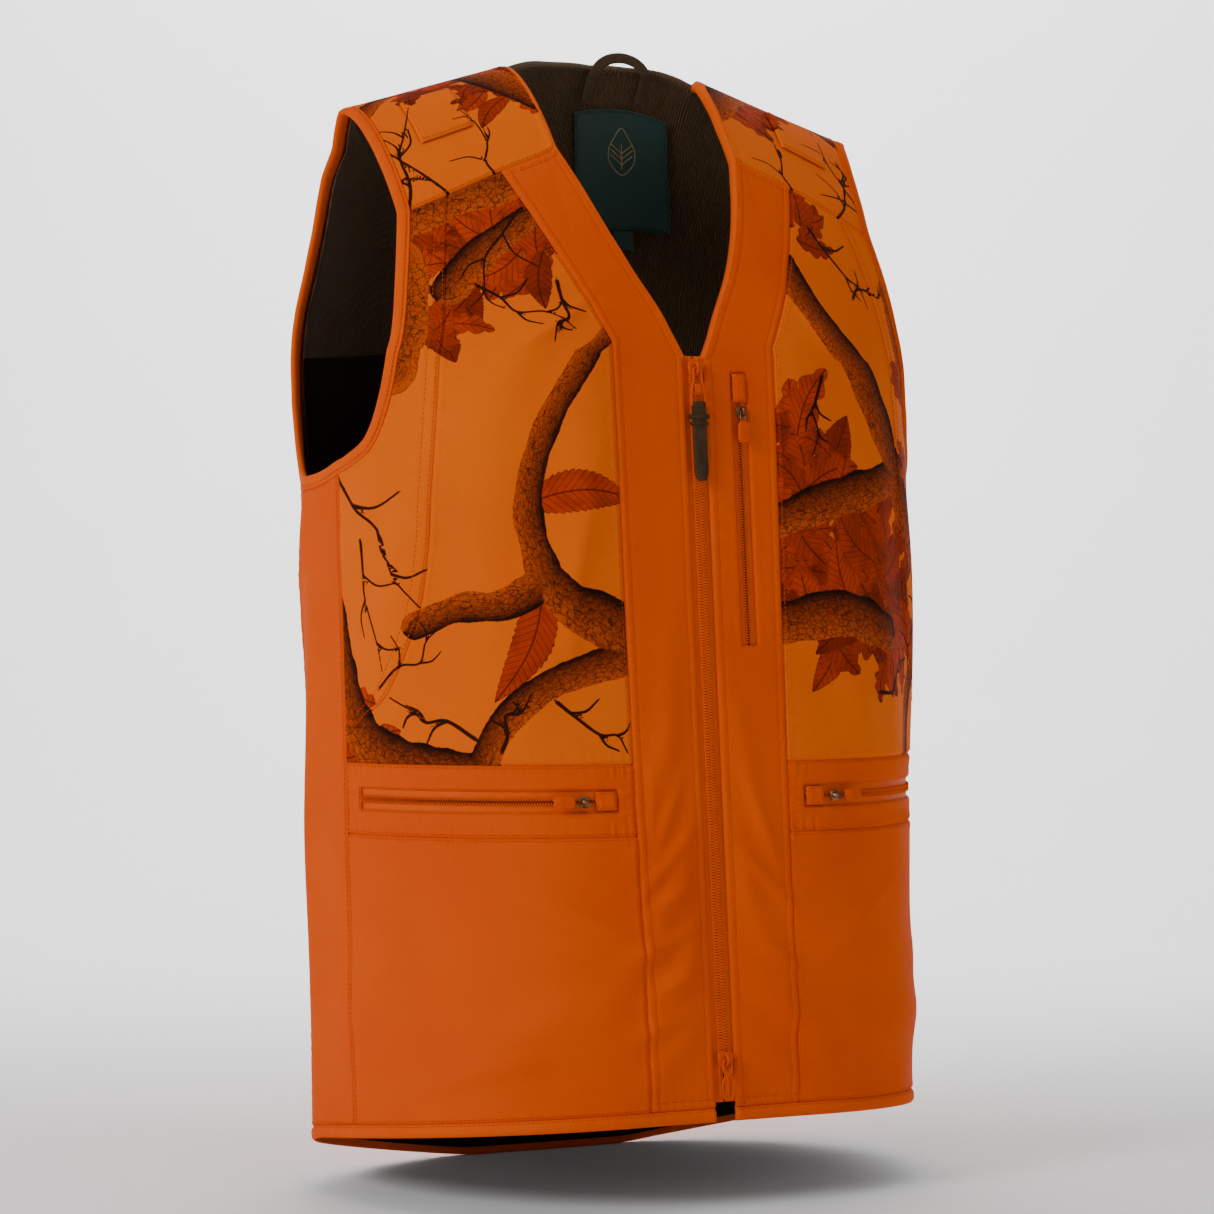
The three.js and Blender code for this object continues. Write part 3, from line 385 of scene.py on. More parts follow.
def cloth(name, grid, material, slot, nodes, low=0.0, high=CLOTH, seams="lrbt", stitched="lrbt", pucker=0.3,
          window=None, attributes=None, folds=1.0, held="hung", rows=(6.0,), ready=None, group="seams", wave=0.0):
    """A sewn panel: outer and inner faces over a patch, its outer face shaped by its seams; declared as a sheet.

    Each face is the body surface plus its normal times a height: the folds, the thickness, and sewn() of the
    distance to each edge. ready gives the surface and normals of a piece that lies over the shoulder.
    """
    u, h = grid[..., 0], grid[..., 1]
    base, n = ready if ready else surface(u, h, 0.0, folds)
    sides = dict(zip("lrbt", seam_distances(base)))
    rise = np.full(u.shape, 0.0) + wave * (ripple(u * 0.7 + h * 0.2, 2.0) + ripple(h * 0.6, 1.1))
    for k, (key, d) in enumerate(sides.items()):
        if key in seams:
            rise += sewn(d, h if key in "lr" else u, k + 1.3 * len(name), rows if key in stitched else (), pucker)
    keep = np.ones((u.shape[0] - 1, u.shape[1] - 1), bool)
    if window:
        i0, i1, j0, j1 = window
        keep[j0:j1, i0:i1] = False
        across, up = sides["l"], sides["b"]
        dx = np.maximum(across[:, i0:i0 + 1] - across, across - across[:, i1:i1 + 1])
        dz = np.maximum(up[j0:j0 + 1] - up, up - up[j1:j1 + 1])
        d = np.maximum(0, np.where((dx > 0) & (dz > 0), np.hypot(dx, dz), np.maximum(dx, dz)))
        rise += sewn(d, u + h, 4.4, (WINDOW_ROW,), 0.25)
    outer = base + n * (high + rise)[..., None]
    inner = base + n * np.minimum(low, high + rise - 0.35)[..., None]
    turned = {"l": (sides["l"], outer, n), "r": (sides["r"][:, ::-1], outer[:, ::-1], n[:, ::-1]),
              "b": (sides["b"].T, outer.transpose(1, 0, 2), n.transpose(1, 0, 2)),
              "t": (sides["t"].T[:, ::-1], outer.transpose(1, 0, 2)[:, ::-1], n.transpose(1, 0, 2)[:, ::-1])}
    for key in stitched:
        for r in rows:
            stitch_line(group, *at_distance(turned[key][0], r, *turned[key][1:]))
    if window:
        for a, b, c, e in ((i0 - 2, i0 - 1, j0 - 1, j1 + 2), (i1 + 2, i1 + 1, j0 - 1, j1 + 2)):
            stitch_line(group, outer[c:e, (a + b) // 2 if a < b else b], n[c:e, a], 0.0)
        for a in (j0 - 2, j1 + 2):
            stitch_line(group, outer[a, i0 - 1:i1 + 2], n[a, i0 - 1:i1 + 2], 0.0)
    verts, faces = closed_sheet(outer, inner, keep)
    uv = np.stack([u, h], -1).reshape(-1, 2) * M
    extra = {k: np.tile(v.reshape(-1, 3), (2, 1)) for k, v in (attributes or {}).items()}
    piece = finish(mesh_object(name, verts, faces, material, attributes=extra, uv=np.tile(uv, (2, 1))), slot, nodes)
    cells = np.linalg.norm(np.cross(base[1:, :-1] - base[:-1, :-1], base[:-1, 1:] - base[:-1, :-1]), axis=-1)
    declare(name, float(cells[keep].sum()), sides["l"][:, -1].max(), sides["b"][-1].max(), held)
    return piece


def declare(name, area, width, length, held):
    """Declare a cloth piece with its flat size and area, from millimetres."""
    flat = [round(max(0.012, 1.02 * s * M), 3) for s in (width, length)]
    area = min(max(area * M * M, 0.31 * flat[0] * flat[1]), flat[0] * flat[1])
    SHEETS.append((name, flat, round(area, 4)))


# ------------------------------------------------------------------ shader maths
def rgb(r, g, b):
    """A colour from display values 0 to 255."""
    c = [v / 255 for v in (r, g, b)]
    return (*[v / 12.92 if v <= 0.04045 else ((v + 0.055) / 1.055) ** 2.4 for v in c], 1.0)


class Value:
    """A node's output that can be used in arithmetic."""

    def __init__(self, paint, socket):
        self.paint, self.socket = paint, socket

    def math(self, operation, *others):
        return self.paint.node("ShaderNodeMath", {"operation": operation}, [self, *others])

    def __add__(self, o): return self.math("ADD", o)
    def __mul__(self, o): return self.math("MULTIPLY", o)
    def __sub__(self, o): return self.math("SUBTRACT", o)
    def __truediv__(self, o): return self.math("DIVIDE", o)
    def __rsub__(self, o): return self.paint.node("ShaderNodeMath", {"operation": "SUBTRACT"}, [o, self])
    def __pow__(self, o): return self.math("POWER", o)
    def __gt__(self, o): return self.math("GREATER_THAN", o)
    def __lt__(self, o): return self.math("LESS_THAN", o)
    __radd__, __rmul__ = __add__, __mul__

    def abs(self): return self.math("ABSOLUTE")
    def sin(self): return self.math("SINE")
    def clip(self): return self.paint.node("ShaderNodeClamp", {}, [self])
    def mod(self, o): return self.math("PINGPONG", o)
    def larger(self, o): return self.math("MAXIMUM", o)
    def smaller(self, o): return self.math("MINIMUM", o)


class Paint:
    """A material built from one Principled shader."""

    def __init__(self, name, rough=0.8, metal=0.0, sheen=0.0, sheen_tint=None, coat=0.0, specular=0.5):
        self.material = bpy.data.materials.new(name)
        self.material.use_nodes = True
        self.tree = self.material.node_tree
        self.shader = self.tree.nodes["Principled BSDF"]
        plain = {"Roughness": rough, "Metallic": metal, "Sheen Weight": sheen, "Coat Weight": coat,
                 "Specular IOR Level": specular}
        for key, value in plain.items():
            self.shader.inputs[key].default_value = value
        if sheen_tint:
            self.shader.inputs["Sheen Tint"].default_value = sheen_tint
            self.shader.inputs["Sheen Roughness"].default_value = 0.45

    def node(self, kind, settings=None, inputs=(), out=0):
        n = self.tree.nodes.new(kind)
        for key, value in (settings or {}).items():
            if key == "stops":
                ramp = n.color_ramp
                while len(ramp.elements) < len(value):
                    ramp.elements.new(0.5)
                for element, (place, colour) in zip(ramp.elements, value):
                    element.position, element.color = place, colour
            else:
                setattr(n, key, value)
        for key, value in (inputs.items() if isinstance(inputs, dict) else enumerate(inputs)):
            if isinstance(value, Value):
                self.tree.links.new(value.socket, n.inputs[key])
            else:
                n.inputs[key].default_value = value
        return Value(self, n.outputs[out])

    def into(self, key, value):
        self.tree.links.new(value.socket, self.shader.inputs[key])

    def place(self):
        return self.node("ShaderNodeTexCoord", out=3)

    def cloth_uv(self):
        return self.node("ShaderNodeUVMap", {"uv_map": "cloth"})

    def attribute(self, name):
        return self.split(self.node("ShaderNodeAttribute", {"attribute_name": name}, out=1))

    def split(self, vector):
        n = self.tree.nodes.new("ShaderNodeSeparateXYZ")
        self.tree.links.new(vector.socket, n.inputs[0])
        return [Value(self, o) for o in n.outputs]

    def vector(self, *xyz):
        return self.node("ShaderNodeCombineXYZ", {}, xyz)

    def scaled(self, vector, factors):
        return self.node("ShaderNodeVectorMath", {"operation": "MULTIPLY"}, [vector, factors])

    def noise(self, vector, scale, detail=2.0, rough=0.5):
        return self.node("ShaderNodeTexNoise", {}, {"Vector": vector, "Scale": scale, "Detail": detail, "Roughness": rough})

    def cells(self, vector, scale, feature="F1"):
        return self.node("ShaderNodeTexVoronoi", {"feature": feature}, {"Vector": vector, "Scale": scale})

    def mix(self, factor, a, b):
        return self.node("ShaderNodeMix", {"data_type": "RGBA"}, {0: factor, 6: a, 7: b}, out=2)

    def bump(self, height, strength=0.3, distance=0.0005):
        self.into("Normal", self.node("ShaderNodeBump", {}, {"Height": height, "Strength": strength, "Distance": distance}))


def weave(p, pitch=0.0009):
    """Plain weave height: two crossed sets of fine ridges, from the cloth's own coordinates in metres."""
    u, v, _ = p.split(p.cloth_uv())
    warp, weft = (u * (TAU / pitch)).sin(), (v * (TAU / pitch)).sin()
    return warp * weft * 0.5 + 0.5


def brushed(p, base, deep, light):
    """Colour of the brushed shell: broad shade changes, a fine mottle and paler nap."""
    place = p.place()
    broad = p.noise(place, 9.0, 3.0)
    fine = p.noise(place, 420.0, 3.0, 0.65)
    colour = p.mix(((broad - 0.38) * 2.2).clip(), base, deep)
    return p.mix(((fine - 0.45) * 1.6).clip() * 0.35, colour, light), fine


def shell_finish(p, fine):
    worn = p.noise(p.place(), 34.0, 4.0)
    p.into("Roughness", 0.74 + worn * 0.16)
    p.bump(fine * 0.7 + weave(p) * 0.5, 0.28, 0.0004)


def plain_paint(name, base, deep, light):
    p = Paint(name, sheen=0.03, sheen_tint=(1.0, 0.35, 0.05, 1), specular=0.08)
    colour, fine = brushed(p, base, deep, light)
    p.into("Base Color", colour)
    shell_finish(p, fine)
    return p.material


ORANGE, ORANGE_DEEP, ORANGE_LIGHT = rgb(222, 82, 0), rgb(212, 70, 0), rgb(232, 100, 2)


def printed_paint():
    """Brushed orange with a woodland print: bark, serrated leaves and twigs laid out by the cloth's attributes."""
    p = Paint("printed_shell", sheen=0.03, sheen_tint=(1.0, 0.35, 0.05, 1), specular=0.08)
    colour, fine = brushed(p, rgb(230, 100, 0), rgb(222, 90, 0), rgb(238, 116, 4))
    place = p.place()
    rag = (p.noise(place, 260.0, 3.0) - 0.5) * 1.6
    # leaves: tone by leaf, midrib and slanting side veins, dark worn edges
    d, a, b = p.attribute("leaf")
    tone, pitch, _ = p.attribute("leaf_tone")
    body_tone = p.mix(tone, rgb(206, 62, 6), rgb(128, 34, 6))
    blotch = p.noise(p.scaled(place, (1, 1, 1)), 60.0, 4.0, 0.6)
    body_tone = p.mix(((blotch - 0.44) * 3.0).clip() * 0.6, body_tone, rgb(80, 22, 6))
    slant = ((a - b.abs() * 0.9) * (TAU / 5.2)).sin()
    side_vein = ((slant - 0.86) * 7).clip() * 0.75
    rib = (1 - b.abs() * 1.1).clip()
    vein = rib.larger(side_vein)
    body_tone = p.mix(vein, body_tone, rgb(58, 16, 4))
    edge = (1 - (d + rag) * 0.9).clip()
    body_tone = p.mix(edge * 0.85, body_tone, rgb(38, 12, 4))
    colour = p.mix(((d + rag * 0.5) * 2.2).clip(), colour, body_tone)
    # bark: grain along the branch, cracks, lit on one side and dark on the other
    d, t, c = p.attribute("bark")
    grain = p.vector(t * 0.035, c * 1.4, d * 0.02)
    rough = p.noise(grain, 6.0, 6.0, 0.7)
    flecks = p.noise(place, 520.0, 3.0, 0.7)
    cracks = p.node("ShaderNodeTexVoronoi", {"feature": "DISTANCE_TO_EDGE"},
                    {"Vector": p.vector(t * 0.06, c * 1.1, 0.0), "Scale": 3.2})
    bark = p.mix(((c + 1.0) * 0.5 + (rough - 0.5) * 0.9).clip(), rgb(190, 74, 16), rgb(64, 22, 6))
    bark = p.mix(((rough - 0.52) * 5).clip() * 0.85, bark, rgb(34, 12, 4))
    bark = p.mix((1 - cracks * 14).clip() * 0.8, bark, rgb(16, 6, 3))
    bark = p.mix(((flecks - 0.56) * 7).clip() * 0.8, bark, rgb(14, 6, 3))
    bark = p.mix(((c - 0.55) * 2.6).clip() * 0.85, bark, rgb(16, 7, 3))
    colour = p.mix(((d + rag) * 2.0).clip(), colour, bark)
    # twigs: thin dark lines
    s, far, _ = p.attribute("twig")
    line = ((1.0 - s.abs() + rag * 0.25) * 2.5).clip() * (far < 1.9)
    colour = p.mix(line, colour, rgb(46, 15, 5))
    p.into("Base Color", colour)
    shell_finish(p, fine)
    return p.material


def knit_paint(name, base, deep, pitch, rows):
    """Ribbed knit: upright ribs with small slanted loops, with painted shade in the grooves between them."""
    p = Paint(name, rough=0.95, sheen=0.15, specular=0.15)
    u, v, _ = p.split(p.cloth_uv())
    rib = (u * (TAU / pitch)).sin() * 0.5 + 0.5
    loops = (v * (TAU / rows) + (u * (TAU / pitch)).sin() * 1.2).sin() * 0.5 + 0.5
    height = rib * 0.8 + rib * loops * 0.4
    # painted shade: darker where the rib and loop height is low, the same height that drives the bump
    colour = p.mix((height * 0.8).clip(), deep, base)
    p.into("Base Color", p.mix(((p.noise(p.place(), 40.0, 3.0) - 0.4) * 1.6).clip() * 0.4, colour, deep))
    p.bump(height, 0.8, 0.0008)
    return p.material


def mesh_paint():
    """Hexagonal mesh: three sets of ridges at 60 degrees whose product leaves round openings, painted dark as the shade
    seen through them.
    """
    p = Paint("mesh_lining", rough=0.95, specular=0.15)
    u, v, _ = p.split(p.cloth_uv())
    k = TAU / 0.0036
    waves = [(u * (k * c) + v * (k * s)).sin() for c, s in ((1, 0), (0.5, 0.866), (-0.5, 0.866))]
    cell = ((waves[0] * waves[1] * waves[2]) * 2.4 + 0.5).clip()
    # painted shade: the openings are coloured near black for the shade inside them; the strands are the lining's brown
    colour = p.mix(cell, rgb(20, 13, 8), rgb(52, 36, 22))
    p.into("Base Color", p.mix(((p.noise(p.place(), 30.0, 3.0) - 0.4) * 1.5).clip() * 0.5, colour, rgb(34, 23, 13)))
    p.bump(cell, 0.7, 0.0006)
    return p.material


def tape_paint(name, base, deep):
    """Woven zip tape or binding: a close herringbone."""
    p = Paint(name, rough=0.8, sheen=0.03, specular=0.12)
    x, y, z = p.split(p.place())
    bone = ((x.mod(0.0016) + z) * (TAU / 0.0011)).sin() * 0.5 + 0.5
    p.into("Base Color", p.mix(bone * 0.5 + (p.noise(p.place(), 300.0, 2.0) - 0.4) * 0.6, base, deep))
    p.bump(bone, 0.35, 0.0003)
    return p.material


def moulded_paint(name, base, deep, rough, specular):
    """Moulded plastic: even colour with a faint flow mottle and scuffs."""
    p = Paint(name, specular=specular)
    flow, scuff = p.noise(p.place(), 120.0, 3.0), p.noise(p.place(), 900.0, 4.0, 0.7)
    p.into("Base Color", p.mix((flow * 0.8).clip(), base, deep))
    p.into("Roughness", rough + scuff * 0.2)
    p.bump(scuff, 0.12, 0.0002)
    return p.material


def metal_paint():
    """Bronzed cast metal: cloudy tarnish, brushed scratches and worn bright spots."""
    p = Paint("bronzed_metal", metal=1.0)
    place = p.place()
    cloud, scratch = p.noise(place, 260.0, 4.0), p.noise(p.scaled(place, (400, 400, 3000)), 1.0, 3.0)
    colour = p.mix(((cloud - 0.4) * 3).clip(), rgb(150, 108, 74), rgb(92, 62, 42))
    p.into("Base Color", p.mix(((scratch - 0.6) * 4).clip() * 0.5, colour, rgb(214, 170, 130)))
    p.into("Roughness", 0.26 + cloud * 0.22)
    p.bump(scratch, 0.15, 0.0002)
    return p.material


def leather_paint():
    """Waxed leather: cell grain and darker creases."""
    p = Paint("waxed_leather", specular=0.12)
    place = p.place()
    grain = p.node("ShaderNodeTexVoronoi", {"feature": "DISTANCE_TO_EDGE"}, {"Vector": place, "Scale": 900.0})
    cloud = p.noise(place, 150.0, 4.0)
    colour = p.mix(((cloud - 0.4) * 2.5).clip(), rgb(78, 56, 36), rgb(54, 38, 24))
    p.into("Base Color", p.mix((1 - grain * 9).clip() * 0.5, colour, rgb(34, 24, 18)))
    p.into("Roughness", 0.5 + cloud * 0.2)
    p.bump(grain, 0.35, 0.0003)
    return p.material


def satin_paint(name, base, deep):
    """Label satin: fine level threads with a soft shine."""
    p = Paint(name, sheen=0.2, specular=0.5)
    u, v, _ = p.split(p.cloth_uv())
    threads = (v * (TAU / 0.0007)).sin() * 0.5 + 0.5
    p.into("Base Color", p.mix(threads * 0.6, base, deep))
    p.into("Roughness", 0.42 + p.noise(p.place(), 200.0, 2.0) * 0.2)
    p.bump(threads, 0.25, 0.0002)
    return p.material


def thread_paint(name, base, deep):
    """Twisted sewing thread."""
    p = Paint(name, rough=0.7, sheen=0.03, specular=0.15)
    x, y, z = p.split(p.place())
    twist = ((x + y + z) * (TAU / 0.0008)).sin() * 0.5 + 0.5
    p.into("Base Color", p.mix(twist * 0.5 + p.noise(p.place(), 300.0) * 0.3, base, deep))
    return p.material


PLAIN = plain_paint("plain_shell", ORANGE, ORANGE_DEEP, ORANGE_LIGHT)
PRINT = printed_paint()
BINDING = plain_paint("binding_tape", rgb(226, 88, 0), rgb(216, 74, 0), rgb(236, 104, 4))
TAPE = tape_paint("zip_tape", rgb(230, 92, 0), rgb(204, 66, 0))
TEETH = moulded_paint("zip_teeth", rgb(228, 92, 0), rgb(214, 74, 0), 0.5, 0.12)
MOULDED = moulded_paint("moulded_pull", rgb(216, 80, 0), rgb(202, 64, 0), 0.45, 0.12)
ENAMEL = moulded_paint("orange_enamel", rgb(218, 80, 0), rgb(204, 64, 0), 0.36, 0.2)
METAL = metal_paint()
LEATHER = leather_paint()
KNIT = knit_paint("knit_lining", rgb(100, 74, 42), rgb(62, 44, 24), 0.0019, 0.0015)
LOOP_KNIT = knit_paint("loop_tape", rgb(88, 66, 40), rgb(56, 40, 24), 0.0016, 0.0012)
MESH = mesh_paint()
POCKET = plain_paint("pocket_cloth", rgb(64, 46, 30), rgb(48, 34, 22), rgb(80, 60, 40))
LABEL = satin_paint("label_satin", rgb(24, 62, 54), rgb(16, 46, 42))
LABEL_TRIM = thread_paint("label_thread", rgb(168, 150, 110), rgb(130, 112, 80))
THREAD = thread_paint("orange_thread", rgb(208, 66, 0), rgb(172, 44, 0))
LABEL_EDGE = thread_paint("label_edge_thread", rgb(30, 74, 64), rgb(18, 52, 46))


# ------------------------------------------------------------------ woodland print
def nearest(p, q, path, width):
    """Signed distance, distance and length along a smooth line for every point, with the line's width there."""
    line = curve(path, 6)
    wide = np.interp(np.linspace(0, 1, len(line)), np.linspace(0, 1, len(width)), width)
    best, signed = np.full(p.shape, 1e9), np.zeros(p.shape)
    along, w = np.zeros(p.shape), np.ones(p.shape)
    total = 0.0
    for k in range(len(line) - 1):
        a, ab = line[k], line[k + 1] - line[k]
        size = float(np.hypot(*ab)) or 1e-6
        t = np.clip(((p - a[0]) * ab[0] + (q - a[1]) * ab[1]) / size ** 2, 0, 1)
        dx, dy = p - a[0] - t * ab[0], q - a[1] - t * ab[1]
        d = np.hypot(dx, dy)
        closer = d < best
        best = np.where(closer, d, best)
        signed = np.where(closer, np.sign(ab[0] * dy - ab[1] * dx) * d, signed)
        along = np.where(closer, total + t * size, along)
        w = np.where(closer, wide[k] + (wide[k + 1] - wide[k]) * t, w)
        total += size
    return signed, best, along, w


def leaf_profile(a, kind):
    """Half width of a leaf along its length, 0 to 1: a lance shape with teeth, or a lobed shape."""
    a = np.clip(a, 0, 1)
    lance = np.sin(np.pi * a ** 0.85) ** 0.85
    if kind == "lance":
        return lance * (0.9 + 0.14 * np.abs(np.modf(a * 17)[0] - 0.1))
    return np.sin(np.pi * a ** 0.9) ** 0.6 * (0.58 + 0.42 * np.abs(np.sin(a * 3.6 * np.pi)))


def print_fields(u, h, design):
    """Per-point fields of the print: leaf (inside depth, along, across), its tone, bark and twig coordinates."""
    leaf = np.stack([np.full(u.shape, -40.0), np.zeros(u.shape), np.zeros(u.shape)], -1)
    tone = np.zeros(u.shape + (3,))
    for x, y, turn, length, width, kind, shade in design["leaves"]:
        c, s = math.cos(math.radians(turn)), math.sin(math.radians(turn))
        a, b = (u - x) * c + (h - y) * s, -(u - x) * s + (h - y) * c
        b = b + 0.10 * length * np.sin(np.clip(a / length, 0, 1) * np.pi) * (1 if shade > 0.5 else -1)
        past = np.maximum(0, np.maximum(-a, a - length))
        d = width / 2 * leaf_profile(a / length, kind) - np.abs(b) - past
        over = (d > 0) | ((leaf[..., 0] <= 0) & (d > leaf[..., 0]))
        leaf[over] = np.stack([d, a, b], -1)[over]
        tone[over] = (shade, length, 0)
    bark = np.stack([np.full(u.shape, -40.0), np.zeros(u.shape), np.zeros(u.shape)], -1)
    for path in design["branches"]:
        path = np.asarray(path, float)
        signed, d, along, w = nearest(u, h, path[:, :2], path[:, 2])
        knots = w * (1 + 0.10 * ripple(along * 1.7, path[0, 0] % 7))
        inside = knots - d
        over = inside > bark[..., 0]
        bark[over] = np.stack([inside, along + path[0, 1], signed / w], -1)[over]
    twig = np.stack([np.full(u.shape, 9.0), np.full(u.shape, 9.0), np.zeros(u.shape)], -1)
    for path in design["twigs"]:
        path = np.asarray(path, float)
        signed, d, along, w = nearest(u, h, path[:, :2], np.linspace(path[0, 2], path[-1, 2], len(path)))
        over = d / w < twig[..., 1]
        twig[over] = np.stack([signed / w, d / w, along], -1)[over]
    return {"leaf": leaf, "leaf_tone": tone, "bark": bark, "twig": twig}


def litter(rng, x, y, rx, ry, count, size=34):
    """A drift of overlapping leaves in an ellipse."""
    out = []
    for _ in range(count):
        r, a = math.sqrt(rng.random()), rng.random() * TAU
        length = size * (0.7 + 0.7 * rng.random())
        out.append((x + rx * r * math.cos(a), y + ry * r * math.sin(a), rng.random() * 360, length,
                    length * (0.42 + 0.3 * rng.random()), "lance" if rng.random() < 0.35 else "lobed", 0.25 + 0.9 * rng.random() ** 1.2))
    return out


def spray(rng, x, y, turn, length, width=1.5):
    """A twig with three side shoots."""
    a, width = math.radians(turn), width * 1.25
    step = [(x + length * k / 4 * math.cos(a) + 4 * math.sin(k * 1.9 + x), y + length * k / 4 * math.sin(a)
             + 4 * math.cos(k * 2.3 + y)) for k in range(5)]
    out = [[(px, py, width * (1 - 0.16 * k)) for k, (px, py) in enumerate(step)]]
    for k in (1, 2, 3):
        b = a + (0.7 if k % 2 else -0.7) + 0.3 * rng.random()
        reach = length * (0.42 - 0.07 * k)
        px, py = step[k]
        out.append([(px, py, width * 0.75), (px + reach * 0.5 * math.cos(b), py + reach * 0.5 * math.sin(b), width * 0.6),
                    (px + reach * math.cos(b + 0.3), py + reach * math.sin(b + 0.3), width * 0.45)])
    return out


def right_design():
    rng = np.random.default_rng(11)
    leaves = litter(rng, -146, 694, 56, 38, 64, 42) + litter(rng, -196, 622, 24, 36, 30, 34) + litter(rng, -112, 660, 26, 22, 14, 40)
    leaves += [(-128, 470, 4, 78, 30, "lance", 0.35), (-116, 426, -112, 94, 28, "lance", 0.5), (-236, 338, 150, 34, 16, "lobed", 0.3)]
    leaves += litter(rng, -250, 306, 20, 10, 10, 26)
    branches = [
        [(-60, 604, 7), (-84, 566, 8), (-110, 522, 8.5), (-124, 470, 9.5), (-114, 418, 12)],
        [(-114, 420, 11), (-142, 404, 11), (-172, 402, 9.5), (-204, 390, 9)],
        [(-116, 424, 12), (-98, 404, 15), (-76, 394, 18), (-50, 378, 21)],
        [(-166, 284, 11), (-148, 322, 10), (-120, 348, 10), (-86, 362, 11), (-48, 372, 12)],
        [(-274, 404, 8), (-268, 360, 13), (-256, 326, 16), (-226, 300, 19), (-160, 292, 13)],
        [(-214, 694, 20), (-166, 716, 23), (-112, 722, 18)], [(-216, 566, 20), (-206, 610, 22), (-200, 668, 19)],
        [(-168, 640, 13), (-140, 668, 12), (-104, 690, 9)],
    ]
    twigs = spray(rng, -272, 498, -52, 120, 1.5) + spray(rng, -250, 448, -78, 90, 1.2) + spray(rng, -168, 318, 160, 60)
    twigs += spray(rng, -110, 338, -32, 60) + spray(rng, -228, 350, 40, 60, 1.0) + spray(rng, -150, 310, 60, 40)
    twigs += spray(rng, -150, 640, -30, 70, 1.3) + spray(rng, -112, 700, -120, 90, 1.1) + spray(rng, -90, 640, -100, 50)
    return dict(leaves=leaves, branches=branches, twigs=twigs)


def left_design():
    rng = np.random.default_rng(23)
    leaves = litter(rng, 98, 448, 38, 66, 60, 42) + litter(rng, 156, 410, 44, 46, 44, 40) + litter(rng, 214, 470, 34, 40, 26, 34)
    leaves += [(76, 520, 60, 56, 28, "lobed", 0.3), (186, 588, -60, 46, 22, "lobed", 0.6)]
    leaves += litter(rng, 96, 700, 24, 20, 10, 32)
    branches = [
        [(72, 712, 12), (88, 650, 12), (122, 590, 14), (160, 532, 15), (198, 470, 16), (236, 430, 16)],
        [(60, 462, 12), (98, 476, 14), (140, 486, 14), (190, 500, 12)], [(60, 392, 15), (110, 398, 17), (160, 384, 14)],
        [(248, 420, 10), (232, 372, 10), (206, 340, 9), (196, 292, 9)], [(200, 660, 14), (212, 596, 19), (232, 540, 21), (250, 500, 18)],
    ]
    twigs = spray(rng, 116, 696, -50, 74, 1.5) + spray(rng, 140, 650, 10, 50) + spray(rng, 236, 400, 40, 60, 1.2)
    twigs += spray(rng, 210, 350, 80, 70) + spray(rng, 96, 560, -100, 50) + spray(rng, 150, 340, 30, 60)
    return dict(leaves=leaves, branches=branches, twigs=twigs)


def yoke_design(side):
    rng = np.random.default_rng(5 + side)
    s = side
    leaves = litter(rng, s * 94, 830, 20, 34, 26, 34) + litter(rng, s * 150, 866, 30, 12, 14, 30)
    branches = [[(s * 68, 780, 8), (s * 84, 812, 14), (s * 98, 846, 15), (s * 112, 882, 14)],
                [(s * 196, 812, 8), (s * 176, 852, 9), (s * 150, 880, 9)]]
    twigs = spray(rng, s * 182, 700, 100 if s > 0 else 80, 110, 1.3) + spray(rng, s * 150, 712, 60 if s > 0 else 120, 90, 1.2)
    twigs += spray(rng, s * 116, 722, 95, 70, 1.0)
    return dict(leaves=leaves, branches=branches, twigs=twigs)


def back_design():
    rng = np.random.default_rng(31)
    leaves = litter(rng, 500, 700, 60, 40, 30, 36) + litter(rng, 740, 560, 60, 50, 30, 36) + litter(rng, 640, 780, 60, 24, 20)
    leaves += [(560, 590, 200, 80, 28, "lance", 0.3), (690, 690, 20, 84, 28, "lance", 0.5), (620, 520, -70, 80, 28, "lance", 0.2)]
    branches = [[(420, 780, 12), (480, 730, 13), (530, 650, 14), (560, 560, 15), (552, 466, 16)],
                [(545, 600, 11), (600, 630, 10), (660, 640, 9), (720, 670, 7)],
                [(840, 500, 14), (770, 520, 13), (700, 500, 12), (640, 460, 12)],
                [(830, 760, 12), (790, 700, 13), (770, 640, 12), (800, 580, 11)],
                [(360, 560, 10), (420, 540, 11), (470, 500, 12), (500, 460, 12)]]
    twigs = spray(rng, 600, 640, 80, 90, 1.3) + spray(rng, 440, 620, -60, 90, 1.3) + spray(rng, 700, 600, 120, 80, 1.2)
    twigs += spray(rng, 660, 560, -40, 80, 1.2) + spray(rng, 820, 640, 200, 80, 1.2)
    return dict(leaves=leaves, branches=branches, twigs=twigs)


# ------------------------------------------------------------------ panel edges, cloth coordinates
def points_at(*places):
    return [at(x, z) for x, z in places]


NECK = points_at((12, 582), (22, 604), (38, 634), (51, 665), (61, 694), (70, 720))
FACING_TOP = points_at((62, 582), (71, 601), (83, 627), (94, 653), (104, 678), (113, 701))
OVERLAY = [[258, 321], [246, 330], [225, 347], [202, 394], [192, 440], [188.7, 475], [186, 500], [183.5, 525],
           *points_at((172, 577), (163, 632), (152, 683))]
ARM_FRONT = [[SEAM_U, 494], [255, 499], [232, 515], *points_at((197, 560), (187, 620), (178, 671))]
ARM_LOW = [[SEAM_U, 494], [288, 488], [308, 485], [330, 485], [BACK_U, 490]]
ARM_BACK = [[BACK_U, 490], [372, 503], [383, 522], [391, 548], [397, 580], [400, 620], [402, 665], [405, 710], [411, 755]]
Z_BACK_SEAM, FRONT_TOP, OVERLAY_END = 470.0, 572.0, 322.0
YOKE_X, BACK_IN, BACK_OUT = (70.0, 113.0, 150.0, 178.0), (78.0, 26.0), (193.0, 92.0)


def upright(u, z0, z1, n=9):
    """A level-by-level edge at girth u, or at the facing edge when u is None."""
    z = np.linspace(z0, z1, n)
    return np.stack([facing_edge(z) if u is None else np.full(n, float(u)), z], -1)


def hem_edge(u0, u1, rise=HEM_BAND, n=60):
    u = np.linspace(u0, u1, n)
    return np.stack([u, hem_z(u) + rise], -1)


